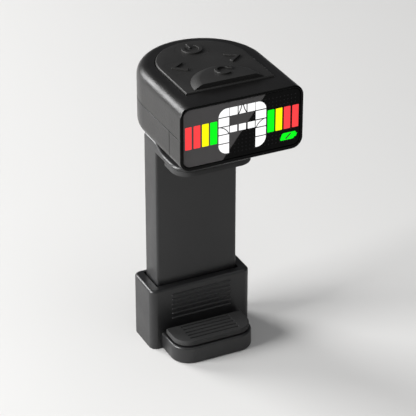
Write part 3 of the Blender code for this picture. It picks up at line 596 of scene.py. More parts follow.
finish_piece(drawer, "drawer", [case_satin], ["battery_drawer"], bevel=0.07 * MM)
print("drawer polygons:", len(drawer.data.polygons))

# %% [markdown]
# The coin cell is a stamped steel can with a smaller cap, kept apart by a dark sealing ring.
# It is built from stacked discs with rounded rims, because its steps show when the drawer is
# out.

# %% Coin cell's can and seal
cell_radius = (cell_high.x - cell_low.x) / 2
cap_radius = cell_radius - 1.35 * MM
seal_radius = cap_radius + 0.45 * MM
can = carve("cell_can", rod((0, ARC_Y), cell_radius, cell_low.z, cell_high.z - 0.3 * MM, sides=96), [
    ("DIFFERENCE", rod((0, ARC_Y), seal_radius, cell_high.z - 0.7 * MM, 0, sides=96)),
])
finish_piece(can, "drawer", [nickel_steel], ["coin_cell"], bevel=0.18 * MM, segments=3)
seal = carve("cell_seal", rod((0, ARC_Y), seal_radius, cell_high.z - 0.8 * MM, cell_high.z - 0.42 * MM,
                              sides=96), [])
finish_piece(seal, "drawer", [dark_nylon], bevel=0.05 * MM)
print("coin cell radius:", round(cell_radius / MM, 2))

# %% [markdown]
# The cap is turned bright, which leaves fine rings round its middle. A Mapping node puts the
# wave's centre on the cell, and a second bump adds the rings on top of the finish's own grain.

# %% Coin cell's cap
def make_brushed_steel():
    material = finish("brushed_cap_steel", (0.60, 0.59, 0.57), 0.30, metallic=1.0, grain=2600, depth=0.002)
    nodes = material.node_tree.nodes
    links = material.node_tree.links
    place = nodes.new("ShaderNodeTexCoord")
    centre = nodes.new("ShaderNodeMapping")
    centre.inputs["Location"].default_value = -(DATUM + Vector((0, ARC_Y, cell_high.z)))
    rings = nodes.new("ShaderNodeTexWave")
    rings.wave_type = "RINGS"
    rings.rings_direction = "Z"
    rings.inputs["Scale"].default_value = 900
    rings.inputs["Distortion"].default_value = 1.2
    links.new(place.outputs["Object"], centre.inputs["Vector"])
    links.new(centre.outputs["Vector"], rings.inputs["Vector"])
    bump = nodes["Bump"]
    second = nodes.new("ShaderNodeBump")
    second.inputs["Distance"].default_value = 0.004 * MM
    links.new(rings.outputs["Fac"], second.inputs["Height"])
    links.new(bump.outputs["Normal"], second.inputs["Normal"])
    links.new(second.outputs["Normal"], nodes["Principled BSDF"].inputs["Normal"])
    return material


cap = carve("cell_cap", rod((0, ARC_Y), cap_radius, cell_high.z - 0.8 * MM, cell_high.z, sides=96), [])
finish_piece(cap, "drawer", [make_brushed_steel()], bevel=0.2 * MM, segments=3)
print("cap radius:", round(cap_radius / MM, 2))

# %% [markdown]
# The window is a flat acrylic plate with a polished chamfer. It sits a hair behind the rim.

# %% Display window
gap = 0.08 * MM
plate = rounded_rectangle(-WINDOW["x"] + gap, WINDOW["x"] - gap, WINDOW["low"] + gap, WINDOW["top"] - gap,
                          WINDOW["radius"] - gap)
LENS_FACE = 0.12 * MM
window_plate = loose_object("window_plate", prism(plate, LENS_FACE, 1.5 * MM, "Y"))
# the window's finish carries the painted grey reflection on its left part
finish_piece(window_plate, "head", [smoked_window_painted_reflection], ["display_lens"], bevel=0.08 * MM)
print("window plate:", len(window_plate.data.polygons), "polygons")

# %% [markdown]
# The lit face is a segment display. It shows the note as a large white letter built from short
# segments, and how far off pitch the string is as four bars on each side. Each segment is a
# very thin plate on the window, with slightly rounded corners and dark gaps between.

# %% Segment helper
SEGMENT_FACE = LENS_FACE - 0.03 * MM


def plates(name, outlines, material, face=SEGMENT_FACE):
    """One object from many thin plates, all facing forward."""
    parts = [prism(outline, face, LENS_FACE + 0.05 * MM, "Y") for outline in outlines]
    finish_piece(loose_object(name, merged(parts)), "head", [material])


def tile(x0, x1, z0, z1, radius=0.12 * MM):
    return rounded_rectangle(x0, x1, z0, z1, radius, 3)


print("segment face at", round(SEGMENT_FACE / MM, 3), "mm")

# %% [markdown]
# The pitch bars run out from the letter on both sides: one green, one yellow and two red. Only
# the right side's spans are written down, and the left side mirrors them.

# %% Pitch bars
BAR_LOW, BAR_HIGH = -8.8 * MM, -4.1 * MM
bar_spans = {"green": [(5.3, 6.75)], "yellow": [(7.05, 8.45)], "red": [(8.8, 10.2), (10.6, 11.95)]}
for color, material in (("green", lit_green), ("yellow", lit_yellow), ("red", lit_red)):
    outlines = []
    for x0, x1 in bar_spans[color]:
        outlines.append(tile(x0 * MM, x1 * MM, BAR_LOW, BAR_HIGH))
        outlines.append(tile(-x1 * MM, -x0 * MM, BAR_LOW, BAR_HIGH))
    plates(f"pitch_bars_{color}", outlines, material)
    print(color, "bars:", len(outlines))

# %% [markdown]
# The letter is two columns of five segments, a row of three across the top and one across the
# middle. Its outer corners are round. Thin dark lines split some segments further, because the
# same display can also draw the slanting strokes of other letters.

# %% Note letter
COLUMN = (2.8 * MM, 5.0 * MM)
ROWS = [-1.7 * MM, -3.6 * MM, -5.55 * MM, -7.2 * MM, -9.1 * MM, -11.4 * MM]
SLIT = 0.11 * MM


def corner_tile(x0, x1, z0, z1, radius, outer, upper):
    """A segment with one large round corner, on the letter's outer side."""
    center_z = z1 - radius if upper else z0 + radius
    center_x = x1 - radius if outer > 0 else x0 + radius
    start = {(1, True): 0, (-1, True): 90, (-1, False): 180, (1, False): 270}[(outer, upper)]
    curve = arc((center_x, center_z), radius, start, start + 90, 10)
    square = [(x1, z1), (x0, z1), (x0, z0), (x1, z0)]
    skip = {0: (x1, z1), 90: (x0, z1), 180: (x0, z0), 270: (x1, z0)}[start]
    points = []
    for corner in square:
        points += curve if corner == skip else [corner]
    return points


letter = []
for outer in (-1, 1):
    x0, x1 = sorted((outer * COLUMN[0], outer * COLUMN[1]))
    for i, (high, low) in enumerate(zip(ROWS, ROWS[1:])):
        span = (x0, x1, low + SLIT, high - SLIT)
        if i == 0:
            letter.append(corner_tile(*span, 1.75 * MM, outer, True))
        elif i == len(ROWS) - 2:
            letter.append(corner_tile(*span, 1.9 * MM, outer, False))
        else:
            letter.append(tile(*span, 0.08 * MM))
for row in (0, 2):
    width = 2 * COLUMN[0] / 3
    for i in range(3):
        x0 = -COLUMN[0] + i * width
        slit = SLIT if row == 0 else 1.7 * SLIT
        letter.append(tile(x0 + slit, x0 + width - slit, ROWS[row + 1] + slit, ROWS[row] - SLIT, 0.08 * MM))
plates("note_letter", letter, lit_white)
print("letter segments:", len(letter))

# %% [markdown]
# The dark dividing lines are ribbons laid over the lit segments. Two spread down from the
# middle of the top row, and an arc sweeps through each column beside the crossbar.

# %% Dark lines across the letter
def stroke(points, width):
    """A ribbon outline along a path of (x, z) points."""
    left, right = [], []
    for i, point in enumerate(points):
        a, b = Vector(points[max(i - 1, 0)]), Vector(points[min(i + 1, len(points) - 1)])
        along = (b - a).normalized()
        across = Vector((-along.y, along.x)) * width / 2
        left.append(tuple(Vector(point) + across))
        right.append(tuple(Vector(point) - across))
    return left + right[::-1]


lines = []
for side in (-1, 1):
    spread = [(side * 0.15 * MM, ROWS[0]), (side * 0.4 * MM, -2.6 * MM), (side * 0.9 * MM, ROWS[1])]
    lines.append(stroke(spread, 0.2 * MM))
    sweep = arc((side * 5.3 * MM, -8.1 * MM), 2.6 * MM, 90 + side * 5, 90 + side * 68, 8)
    lines.append(stroke(sweep, 0.18 * MM))
plates("letter_lines", lines, segment_dark, SEGMENT_FACE - 0.01 * MM)
print("dark lines:", len(lines))

# %% [markdown]
# A small green battery symbol sits in the lower right corner: a leaning case with its terminal
# and a dark slash through the middle.

# %% Battery symbol
BATTERY_BASE = -11.2 * MM
LEAN = 0.35


def lean(points):
    return [(x + (z - BATTERY_BASE) * LEAN, z) for x, z in points]


cell_sign = lean(rounded_rectangle(8.0 * MM, 11.0 * MM, BATTERY_BASE, -9.7 * MM, 0.35 * MM, 4))
terminal = lean(rounded_rectangle(10.95 * MM, 11.35 * MM, -10.8 * MM, -10.1 * MM, 0.1 * MM, 3))
plates("battery_symbol", [cell_sign, terminal], lit_green)
plates("battery_slash", [stroke([(9.25 * MM, -10.95 * MM), (10.35 * MM, -9.95 * MM)], 0.3 * MM)],
       segment_dark, SEGMENT_FACE - 0.01 * MM)
print("battery symbol ready")

# %% [markdown]
# The keypad is one silicone moulding: a skirt under the shell, a D-shaped top that stands a
# little above it, and four keys that give way on their own. Between them runs only a hairline,
# so the keypad reads as one surface. The front key is a raised arch with a soft shoulder.

# %% Keypad outlines
KEY_SLIT = 0.025 * MM
KEYPAD_TOP = 0.35 * MM
KEYPAD_LOW = -2.0 * MM
MODE_TOP = 1.25 * MM
MODE_FRONT, MODE_HALF, MODE_RISE = 5.7 * MM, 7.3 * MM, 7.8 * MM
POWER_MIDDLE, POWER_RADIUS = (0, 22.4 * MM), 3.4 * MM
ARROW_X, ARROW_Y = 6.0 * MM, 15.9 * MM
ARROW_HALF_X, ARROW_HALF_Y = 2.2 * MM, 2.7 * MM


def mode_arch(growth):
    """The mode key's half oval, from its right end over the top to its left end."""
    return [((MODE_HALF + growth) * x, MODE_FRONT + (MODE_RISE + growth) * y)
            for x, y in arc((0, 0), 1.0, 0, 180, 56)]


def mode_outline(growth):
    half = MODE_HALF + growth
    return [(-half, MODE_FRONT - growth), (half, MODE_FRONT - growth)] + mode_arch(growth)


def key_outlines(growth=0.0):
    outlines = {"power": arc(POWER_MIDDLE, POWER_RADIUS + growth, 0, 355, 71), "mode": mode_outline(growth)}
    for name, x in (("left", -ARROW_X), ("right", ARROW_X)):
        half_x, half_y = ARROW_HALF_X + growth, ARROW_HALF_Y + growth
        outlines[name] = rounded_rectangle(x - half_x, x + half_x, ARROW_Y - half_y, ARROW_Y + half_y,
                                           1.2 * MM + growth)
    return outlines


print("keys:", sorted(key_outlines()))

# %% [markdown]
# The mat's upper edge is rolled over, and its skirt is wider than the opening in the shell, so
# it can only be fitted from inside. The four key holes are cut a hair larger than the keys.

# %% Keypad mat
mat = prism(d_outline(KEYPAD_HALF, KEYPAD_FRONT), KEYPAD_LOW, KEYPAD_TOP)
round_edges(mat, level_at(KEYPAD_TOP), 0.28 * MM, 4)
skirt = prism(d_outline(KEYPAD_HALF + 1.0 * MM, KEYPAD_FRONT - 0.5 * MM), KEYPAD_LOW, -1.5 * MM)
key_holes = [("DIFFERENCE", prism(outline, -5 * MM, 5 * MM)) for outline in key_outlines(KEY_SLIT).values()]
keypad = carve("keypad_top", mat, [("UNION", skirt)] + key_holes)
finish_piece(keypad, "head", [keypad_silicone], ["keypad_mat"])
print("keypad polygons:", len(keypad.data.polygons))

# %% [markdown]
# The keys are separate pieces, because each one sinks on its own. Three are plain extrusions.
# The mode key is a raised arch, lofted in rings that draw in as they rise, over a flat front.

# %% Keys
MODE_FLANK = 1.9 * MM


def mode_solid():
    """The raised arch: its flanks slope up over two millimetres, its front stays a flat wall."""
    bm = bmesh.new()
    levels = [(0, KEYPAD_LOW), (0, KEYPAD_TOP - 0.02 * MM)]
    for i in range(9):
        t = i / 8
        swell = 0.35 * t + 0.65 * math.sin(math.pi / 2 * t)
        levels.append((MODE_FLANK * t, KEYPAD_TOP + (MODE_TOP - KEYPAD_TOP) * swell))
    rings = [[bm.verts.new((x, y, z)) for x, y in mode_arch(-inset)] for inset, z in levels]
    for low, high in zip(rings, rings[1:]):
        for k in range(len(low) - 1):
            bm.faces.new((low[k], low[k + 1], high[k + 1], high[k]))
    for ring in (rings[0], rings[-1]):
        bm.faces.new(ring)
    bm.faces.new([ring[0] for ring in rings] + [ring[-1] for ring in reversed(rings)])
    bmesh.ops.recalc_face_normals(bm, faces=bm.faces)
    return bm


for key, outline in key_outlines().items():
    shape = mode_solid() if key == "mode" else prism(outline, KEYPAD_LOW, KEYPAD_TOP)
    finish_piece(loose_object(f"{key}_key", shape), key, [keypad_silicone],
                 [f"{key}_button"])
print("keys ready")

# %% [markdown]
# Each key carries a raised symbol of the usual kind: a power ring, two arrow heads, and a
# ring arrow for changing the mode. They stand a third of a millimetre proud, enough to catch
# the light along one side.

# %% Key symbols
SYMBOL_HEIGHT = 0.34 * MM
SYMBOL_ROOT = 0.05 * MM


def symbol(name, key, outlines, top):
    parts = [prism(outline, top - SYMBOL_ROOT, top + SYMBOL_HEIGHT) for outline in outlines]
    finish_piece(loose_object(name, merged(parts)), key, [keypad_silicone],
                 bevel=0.05 * MM)


def mm_points(points):
    return [(x * MM, y * MM) for x, y in points]


power_ring = stroke(arc(POWER_MIDDLE, 1.75 * MM, 128, 412, 40), 0.72 * MM)
power_bar = rounded_rectangle(-0.25 * MM, 0.25 * MM, 22.9 * MM, 24.9 * MM, 0.2 * MM, 4)
symbol("power_symbol", "power", [power_ring, power_bar], KEYPAD_TOP)
for key, side in (("left", -1), ("right", 1)):
    points = mm_points([(side * 4.6, 17.6), (side * 7.0, 15.9), (side * 4.6, 14.2)])
    symbol(f"{key}_arrow", key, [stroke(points, 0.78 * MM)], KEYPAD_TOP)
ring_middle = (0.6 * MM, 9.5 * MM)
ring = stroke(arc(ring_middle, 1.5 * MM, 20, 300, 36), 0.62 * MM)
tip = mm_points([(2.75, 10.35), (1.35, 10.2), (2.35, 9.2)])
symbol("mode_symbol", "mode", [ring, tip], MODE_TOP)
print("symbols ready")

# %% [markdown]
# Under the case a small steel bracket carries the tilt pin. The real head hangs on that pin, so
# the bracket's ears keep their bores and only gain softened edges.

# %% Tilt bracket
TILT_Z = (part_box("tilt_pin")[0].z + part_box("tilt_pin")[1].z) / 2 - DATUM.z
EAR_RADIUS = 1.15 * MM
EAR_INNER, EAR_OUTER = 3.0 * MM, 4.6 * MM
PIN_HOLE = 0.62 * MM
plate_top = -CASE_HEIGHT - 0.25 * MM
plate_low = plate_top - 0.5 * MM


def ear(x0, x1):
    below = arc((ARC_Y, TILT_Z), EAR_RADIUS, 180, 360, 24)
    top_z = plate_low + 0.3 * MM
    return prism(below + [(ARC_Y + EAR_RADIUS, top_z), (ARC_Y - EAR_RADIUS, top_z)], x0, x1, "X")


def pin_hole():
    """A fresh cutting step; a step's mesh is used up by the cut."""
    return "DIFFERENCE", rod((ARC_Y, TILT_Z), PIN_HOLE, -8 * MM, 8 * MM, "X")


bracket_plate = rounded_rectangle(-7.6 * MM, 7.6 * MM, ARC_Y - 3 * MM, ARC_Y + 3 * MM, 1.0 * MM)
bracket = carve("steel_bracket", prism(bracket_plate, plate_low, plate_top), [
    ("UNION", ear(-EAR_OUTER, -EAR_INNER)),
    ("UNION", ear(EAR_INNER, EAR_OUTER)),
    pin_hole(),
])
finish_piece(bracket, "head", [nickel_steel], ["tilt_bracket"], bevel=0.07 * MM)
print("bracket ready")

# %% [markdown]
# The turret is a nylon disc that turns on the clamp's arm. A barrel on top of it takes the tilt
# pin between the bracket's ears, and a hollow shaft below it takes the swivel screw.

# %% Swivel turret
SEAT_TOP = -17.5 * MM
DISC_RADIUS, DISC_THICKNESS = 5.2 * MM, 0.5 * MM
SHAFT_RADIUS, SHAFT_BORE = 1.8 * MM, 0.65 * MM
BARREL_HALF = 2.75 * MM
disc_low = SEAT_TOP + 0.25 * MM
barrel_low = disc_low + 0.25 * MM
barrel = arc((ARC_Y, TILT_Z), EAR_RADIUS - 0.1 * MM, 0, 180, 24)
barrel += [(ARC_Y - EAR_RADIUS, barrel_low), (ARC_Y + EAR_RADIUS, barrel_low)]
disc = rod((0, ARC_Y), DISC_RADIUS, disc_low, disc_low + DISC_THICKNESS, sides=72)
turret = carve("nylon_turret", disc, [
    ("UNION", rod((0, ARC_Y), SHAFT_RADIUS, SEAT_TOP - 1.2 * MM, barrel_low)),
    ("UNION", prism(barrel, -BARREL_HALF, BARREL_HALF, "X")),
    pin_hole(),
    ("DIFFERENCE", rod((0, ARC_Y), SHAFT_BORE, -30 * MM, disc_low + 0.3 * MM)),
])
finish_piece(turret, "turret", [dark_nylon], ["swivel_turret"], bevel=0.07 * MM)
print("swivel ready")

# %% [markdown]
# The clamp's frame is a C in side view. Its arm rises in a soft step from the foot to the top
# of the post, and its front corners are round. Two outlines describe it: the plan from above,
# and the height of its top over the depth.

# %% Clamp outlines
CLAMP_HALF = 9.0 * MM
ARM_FRONT = 10.0 * MM
ARM_TOP, ARM_LOW = -18.5 * MM, -19.5 * MM
POST_TOP, POST_LOW = -17.2 * MM, -62.65 * MM
POST_FRONT, POST_BACK = 20.2 * MM, 26.2 * MM
FOOT_CORNER, POST_CORNER = 4.0 * MM, 0.6 * MM
STEP_START, STEP_LENGTH = 17.0 * MM, 4.2 * MM


def clamp_plan(back_y, inset=0.0):
    half, front_y, radius = CLAMP_HALF - inset, ARM_FRONT + inset, FOOT_CORNER - inset
    points = [(half, back_y), (-half, back_y)]
    points += arc((-half + radius, front_y + radius), radius, 180, 270, 18)
    return points + arc((half - radius, front_y + radius), radius, 270, 360, 18)


def arm_top(y):
    """Height of the arm's top over the depth: a smooth step from the foot up to the post."""
    t = min(1, max(0, (y - STEP_START) / STEP_LENGTH))
    return ARM_TOP + t * t * (3 - 2 * t) * (POST_TOP - ARM_TOP)


print("the arm's top rises", round((arm_top(POST_BACK) - arm_top(ARM_FRONT)) / MM, 2), "mm")

# %% [markdown]
# The arm's rounded edge follows the step, and it is what catches the light. A Bevel modifier
# would stumble where the edge runs up the slope, so the arm is built in rings: each ring is the
# plan drawn in a little and lifted a little, first round the underside and then over the rim.

# %% Arm
ARM_RIM, ARM_UNDER = 0.62 * MM, 0.25 * MM
UNDER_TURN = (1.57, 1.05, 0.52, 0.0)
RIM_TURN = (0.0, 0.3, 0.6, 0.9, 1.2, 1.57)


def half_plan(inset):
    """The arm's left edge from back to front, as (x, y); the right edge is its mirror image."""
    half, back, front = CLAMP_HALF - inset, POST_BACK - inset, ARM_FRONT + inset
    small, large = POST_CORNER, FOOT_CORNER - inset
    points = arc((-half + small, back - small), small, 90, 180, 5)
    straight = [back - small - (back - small - front - large) * i / 30 for i in range(1, 30)]
    points += [(-half, y) for y in straight]
    return points + arc((-half + large, front + large), large, 180, 270, 18)


def arm_mesh(rim, under):
    """Rings from the underside up the wall and over the rim, closed by strips across."""
    bm = bmesh.new()
    levels = [(under * (1 - math.cos(a)), False, under * (1 - math.sin(a)) - rim) for a in UNDER_TURN]
    levels += [(rim * (1 - math.cos(a)), True, rim * (math.sin(a) - 1)) for a in RIM_TURN]
    rings = []
    for inset, on_top, lift in levels:
        left = half_plan(inset)
        loop = left + [(-x, y) for x, y in reversed(left)]
        rings.append([bm.verts.new((x, y, arm_top(y) + lift if on_top else ARM_LOW + rim + lift))
                      for x, y in loop])
    count = len(rings[0])
    for low, high in zip(rings, rings[1:]):
        for k in range(count):
            n = (k + 1) % count
            bm.faces.new((low[k], low[n], high[n], high[k]))
    for ring in (rings[0], rings[-1]):
        for k in range(count // 2 - 1):
            bm.faces.new((ring[k], ring[k + 1], ring[count - 2 - k], ring[count - 1 - k]))
    bmesh.ops.recalc_face_normals(bm, faces=bm.faces)
    return bm


arm = arm_mesh(ARM_RIM, ARM_UNDER)
print("arm faces:", len(arm.faces))

# %% [markdown]
# The post and the round seat for the turret join the arm by Booleans. The cuts are the groove
# in the back for the ratchet strip, the swivel's bore with a seat for its screw's head, and the
# hole in the post's end for the cap's screw.

# %% Clamp frame
SEAT_RADIUS = 5.8 * MM
GROOVE_HALF = 3.25 * MM
SWIVEL_BORE, SCREW_SEAT = 2.0 * MM, 2.75 * MM
CAP_SCREW_PLACE, CAP_SCREW_HOLE = (-6 * MM, 23 * MM), 0.8 * MM
post = prism(rounded_rectangle(-CLAMP_HALF, CLAMP_HALF, POST_FRONT, POST_BACK, POST_CORNER, 5), POST_LOW,
             ARM_TOP - 0.3 * MM)
clamp = carve("clamp_moulding", arm, [
    ("UNION", post),
    ("UNION", rod((0, ARC_Y), SEAT_RADIUS, ARM_TOP - 0.5 * MM, SEAT_TOP, sides=72)),
    ("DIFFERENCE", rod((0, ARC_Y), SEAT_RADIUS, SEAT_TOP, 0, sides=72)),
    ("DIFFERENCE", block(-GROOVE_HALF, GROOVE_HALF, POST_BACK - 1.5 * MM, 30 * MM, -70 * MM, -26 * MM)),
    ("DIFFERENCE", rod((0, ARC_Y), SWIVEL_BORE, -30 * MM, 0)),
    ("DIFFERENCE", rod((0, ARC_Y), SCREW_SEAT, -30 * MM, SEAT_TOP - 1.3 * MM)),
    ("DIFFERENCE", rod(CAP_SCREW_PLACE, CAP_SCREW_HOLE, -70 * MM, POST_LOW + 4 * MM)),
])
finish_piece(clamp, "clamp", [clamp_grain], ["clamp_frame"])
print("clamp polygons:", len(clamp.data.polygons))

# %% [markdown]
# The pads are rubber with shallow grooves across the grip, so that they hold varnished wood
# without marking it. The grooves stop short of the edge, so the pad's outline stays smooth.

# %% Rubber pads
PAD_BACK, PAD_INSET = 17.2 * MM, 0.5 * MM
PAD_GROOVE_WIDTH, PAD_GROOVE_DEPTH, PAD_GROOVE_HALF = 0.4 * MM, 0.25 * MM, 5.5 * MM
pads = [("upper_grip", "upper_pad", "clamp", "below"), ("lower_grip", "lower_pad", "jaw", "above")]
for name, node, body, gripping in pads:
    low, high = (corner.z - DATUM.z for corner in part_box(node))
    face = low if gripping == "below" else high
    grooves = []
    for i in range(5):
        y = (11.6 + 1.15 * i) * MM
        grooves.append(("DIFFERENCE", block(-PAD_GROOVE_HALF, PAD_GROOVE_HALF, y, y + PAD_GROOVE_WIDTH,
                                            face - PAD_GROOVE_DEPTH, face + PAD_GROOVE_DEPTH)))
    pad = carve(name, prism(clamp_plan(PAD_BACK, PAD_INSET), low, high), grooves)
    finish_piece(pad, body, [grip_rubber], [node], bevel=0.08 * MM)
print("pads ready")

# %% [markdown]
# The lower jaw is a sleeve round the post with a foot in front. Its back has two ears for the
# release lever's pin and a slot for the lever's pawl. It is hollow from below: a channel for
# the post, and a wider pocket into which the post's end cap draws.

# %% Lower jaw
SLEEVE_HALF, SLEEVE_FRONT, SLEEVE_BACK = 11.3 * MM, 18.2 * MM, 27.6 * MM
SLEEVE_TOP, JAW_TOP, JAW_LOW = -50.0 * MM, -60.2 * MM, -64.0 * MM
LEVER_Y, LEVER_Z = 28.8 * MM, -55.5 * MM
KNUCKLE, LEVER_BORE = 1.0 * MM, 0.65 * MM
CHANNEL_HALF, POCKET_HALF, PAWL_SLOT_HALF = 9.3 * MM, 10.1 * MM, 2.9 * MM


def lever_bore():
    return "DIFFERENCE", rod((LEVER_Y, LEVER_Z), LEVER_BORE, -8 * MM, 8 * MM, "X")


sleeve = prism(rounded_rectangle(-SLEEVE_HALF, SLEEVE_HALF, SLEEVE_FRONT, SLEEVE_BACK, 1.5 * MM), JAW_LOW,
               SLEEVE_TOP)
round_edges(sleeve, level_at(SLEEVE_TOP), 0.6 * MM, 5)
foot = prism(clamp_plan(SLEEVE_FRONT + 0.6 * MM), JAW_LOW, JAW_TOP)
for level in (JAW_TOP, JAW_LOW):
    round_edges(foot, level_at(level), 0.4 * MM, 3)
ears = []
for side in (-1, 1):
    x0, x1 = sorted((side * 4.4 * MM, side * 5.6 * MM))
    outline = arc((LEVER_Y, LEVER_Z), KNUCKLE, -90, 90, 20)
    outline += [(SLEEVE_BACK - 0.5 * MM, LEVER_Z + KNUCKLE + 0.6 * MM),
                (SLEEVE_BACK - 0.5 * MM, LEVER_Z - KNUCKLE - 0.6 * MM)]
    ears.append(("UNION", prism(outline, x0, x1, "X")))
jaw = carve("jaw_moulding", sleeve, [("UNION", foot)] + ears + [
    ("DIFFERENCE", block(-CHANNEL_HALF, CHANNEL_HALF, 19.9 * MM, 26.5 * MM, -70 * MM, -40 * MM)),
    ("DIFFERENCE", block(-POCKET_HALF, POCKET_HALF, 19.0 * MM, 27.1 * MM, -70 * MM, -60.4 * MM)),
    ("DIFFERENCE", block(-PAWL_SLOT_HALF, PAWL_SLOT_HALF, POST_BACK, 35 * MM, -59.6 * MM, -57.0 * MM)),
    lever_bore(),
])
finish_piece(jaw, "jaw", [clamp_grain], ["lower_jaw"], bevel=0.08 * MM, angle=50)
print("jaw polygons:", len(jaw.data.polygons))

# %% [markdown]
# The release lever is one outline in side view, extruded across: a thumb tab above the pin and
# a short tail below it. A pawl on the tail points at the teeth, and a window in the middle
# leaves room for the spring.

# %% Release lever
LEVER_HALF, PAWL_HALF, SPRING_ROOM = 4.1 * MM, 2.5 * MM, 1.7 * MM
tab_top = LEVER_Z + 9.2 * MM
outline = arc((LEVER_Y, LEVER_Z), KNUCKLE, 110, 235, 18)
outline += [(28.2 * MM, LEVER_Z - 1.8 * MM), (28.2 * MM, LEVER_Z - 3.3 * MM), (29.2 * MM, LEVER_Z - 3.3 * MM)]
outline += arc((LEVER_Y, LEVER_Z), KNUCKLE, -45, 0, 8)
outline += [(29.85 * MM, LEVER_Z + 3 * MM), (29.85 * MM, tab_top - 1.2 * MM), (30.1 * MM, tab_top - 0.4 * MM),
            (30.0 * MM, tab_top), (29.1 * MM, tab_top), (28.9 * MM, LEVER_Z + 3 * MM)]
pawl = [(26.4 * MM, LEVER_Z - 2.5 * MM), (28.6 * MM, LEVER_Z - 2.2 * MM), (28.6 * MM, LEVER_Z - 3.2 * MM),
        (26.4 * MM, LEVER_Z - 3.0 * MM)]
lever = carve("thumb_lever", prism(outline, -LEVER_HALF, LEVER_HALF, "X"), [
    ("UNION", prism(pawl, -PAWL_HALF, PAWL_HALF, "X")),
    ("DIFFERENCE", block(-SPRING_ROOM, SPRING_ROOM, 27.0 * MM, 31.0 * MM, LEVER_Z - 1.35 * MM,
                         LEVER_Z + 1.35 * MM)),
    lever_bore(),
])
finish_piece(lever, "lever", [clamp_grain], ["release_lever"], bevel=0.08 * MM)
print("lever polygons:", len(lever.data.polygons))

# %% [markdown]
# What repeats is left to Geometry Nodes: rows of ribs, the ratchet's teeth, the window's dot
# pattern and the screws. A tree takes its sizes from named inputs, so one tree serves several
# rows. Instances are realised at the end, and the result is stored as a plain mesh.

# %% Geometry Nodes helpers
class Tree:
    """A node group with named inputs; add() makes a node and links its sockets."""

    def __init__(self, name, inputs):
        self.group = bpy.data.node_groups.new(name, "GeometryNodeTree")
        face = self.group.interface
        face.new_socket("Places", in_out="INPUT", socket_type="NodeSocketGeometry")
        kinds = {"material": "NodeSocketMaterial", "count": "NodeSocketInt"}
        self.ids = {}
        for label in inputs:
            kind = kinds.get(label.split()[-1].lower(), "NodeSocketFloat")
            self.ids[label] = face.new_socket(label, in_out="INPUT", socket_type=kind).identifier
        face.new_socket("Mesh", in_out="OUTPUT", socket_type="NodeSocketGeometry")
        self.source = self.add("NodeGroupInput")
        self.end = self.add("NodeGroupOutput")

    def add(self, kind, links=None, values=None, **settings):
        node = self.group.nodes.new(kind)
        for key, value in settings.items():
            setattr(node, key, value)
        for key, value in (values or {}).items():
            node.inputs[key].default_value = value
        for key, socket in (links or {}).items():
            self.group.links.new(socket, node.inputs[key])
        return node

    def size(self, label):
        return self.source.outputs[label]

    def close(self, socket):
        whole = self.add("GeometryNodeRealizeInstances", {"Geometry": socket})
        painted = self.add("GeometryNodeSetMaterial",
                           {"Geometry": whole.outputs[0], "Material": self.size("Material")})
        self.group.links.new(painted.outputs[0], self.end.inputs[0])


def grow(tree, name, places, sizes):
    """Runs a tree on one vertex per place (in datum coordinates) and keeps the result as a mesh."""
    seeds = bpy.data.meshes.new(name + "_places")
    seeds.from_pydata([tuple(DATUM + Vector(place)) for place in places], [], [])
    obj = bpy.data.objects.new(name, seeds)
    bpy.context.scene.collection.objects.link(obj)
    modifier = obj.modifiers.new("nodes", "NODES")
    modifier.node_group = tree.group
    for label, value in sizes.items():
        modifier[tree.ids[label]] = value
    graph = bpy.context.evaluated_depsgraph_get()
    mesh = bpy.data.meshes.new_from_object(obj.evaluated_get(graph))
    obj.modifiers.clear()
    obj.data = mesh
    mesh.set_sharp_from_angle(angle=math.radians(40))
    print(name, "from", len(places), "places:", len(mesh.polygons), "polygons")
    return obj


def settle(obj, body):
    """Hands a grown mesh, already in its place, to its body."""
    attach(obj, body)


# %% [markdown]
# A rib is a half-round bar along x, set halfway into the surface it grips. One tree makes the
# bar from a rod and a ball at each end, and copies it to every place it is given.

# %% Rib tree
def make_rib_tree():
    tree = Tree("grip_ribs", ["Length", "Width", "Height", "Material"])
    half = tree.add("ShaderNodeMath", {0: tree.size("Length")}, {1: 0.5}, operation="MULTIPLY")
    back = tree.add("ShaderNodeMath", {0: half.outputs[0]}, {1: -1.0}, operation="MULTIPLY")
    start = tree.add("ShaderNodeCombineXYZ", {"X": back.outputs[0]})
    end = tree.add("ShaderNodeCombineXYZ", {"X": half.outputs[0]})
    line = tree.add("GeometryNodeCurvePrimitiveLine", {"Start": start.outputs[0], "End": end.outputs[0]})
    circle = tree.add("GeometryNodeCurvePrimitiveCircle", {}, {"Resolution": 14, "Radius": 0.5})
    bar = tree.add("GeometryNodeCurveToMesh", {"Curve": line.outputs[0], "Profile Curve": circle.outputs[0]},
                   {"Fill Caps": True})
    unit = tree.add("GeometryNodeMeshUVSphere", {}, {"Segments": 14, "Rings": 8, "Radius": 0.5})
    width = tree.size("Width")
    height = tree.size("Height")
    slim = tree.add("ShaderNodeCombineXYZ", {"Y": height, "Z": width}, {"X": 1.0})
    rod_part = tree.add("GeometryNodeTransform", {"Geometry": bar.outputs[0], "Scale": slim.outputs[0]})
    ball = tree.add("ShaderNodeCombineXYZ", {"X": width, "Y": height, "Z": width})
    parts = [rod_part]
    for place in (start, end):
        parts.append(tree.add("GeometryNodeTransform", {"Geometry": unit.outputs[0],
                                                        "Translation": place.outputs[0],
                                                        "Scale": ball.outputs[0]}))
    whole = tree.add("GeometryNodeJoinGeometry")
    for part in parts:
        tree.group.links.new(part.outputs[0], whole.inputs[0])
    rows = tree.add("GeometryNodeInstanceOnPoints", {"Points": tree.size("Places"),
                                                     "Instance": whole.outputs[0]})
    tree.close(rows.outputs[0])
    return tree


rib_tree = make_rib_tree()
print("rib tree:", len(rib_tree.group.nodes), "nodes")

# %% [markdown]
# Five ribs on the lever's tab stop a thumb from slipping.

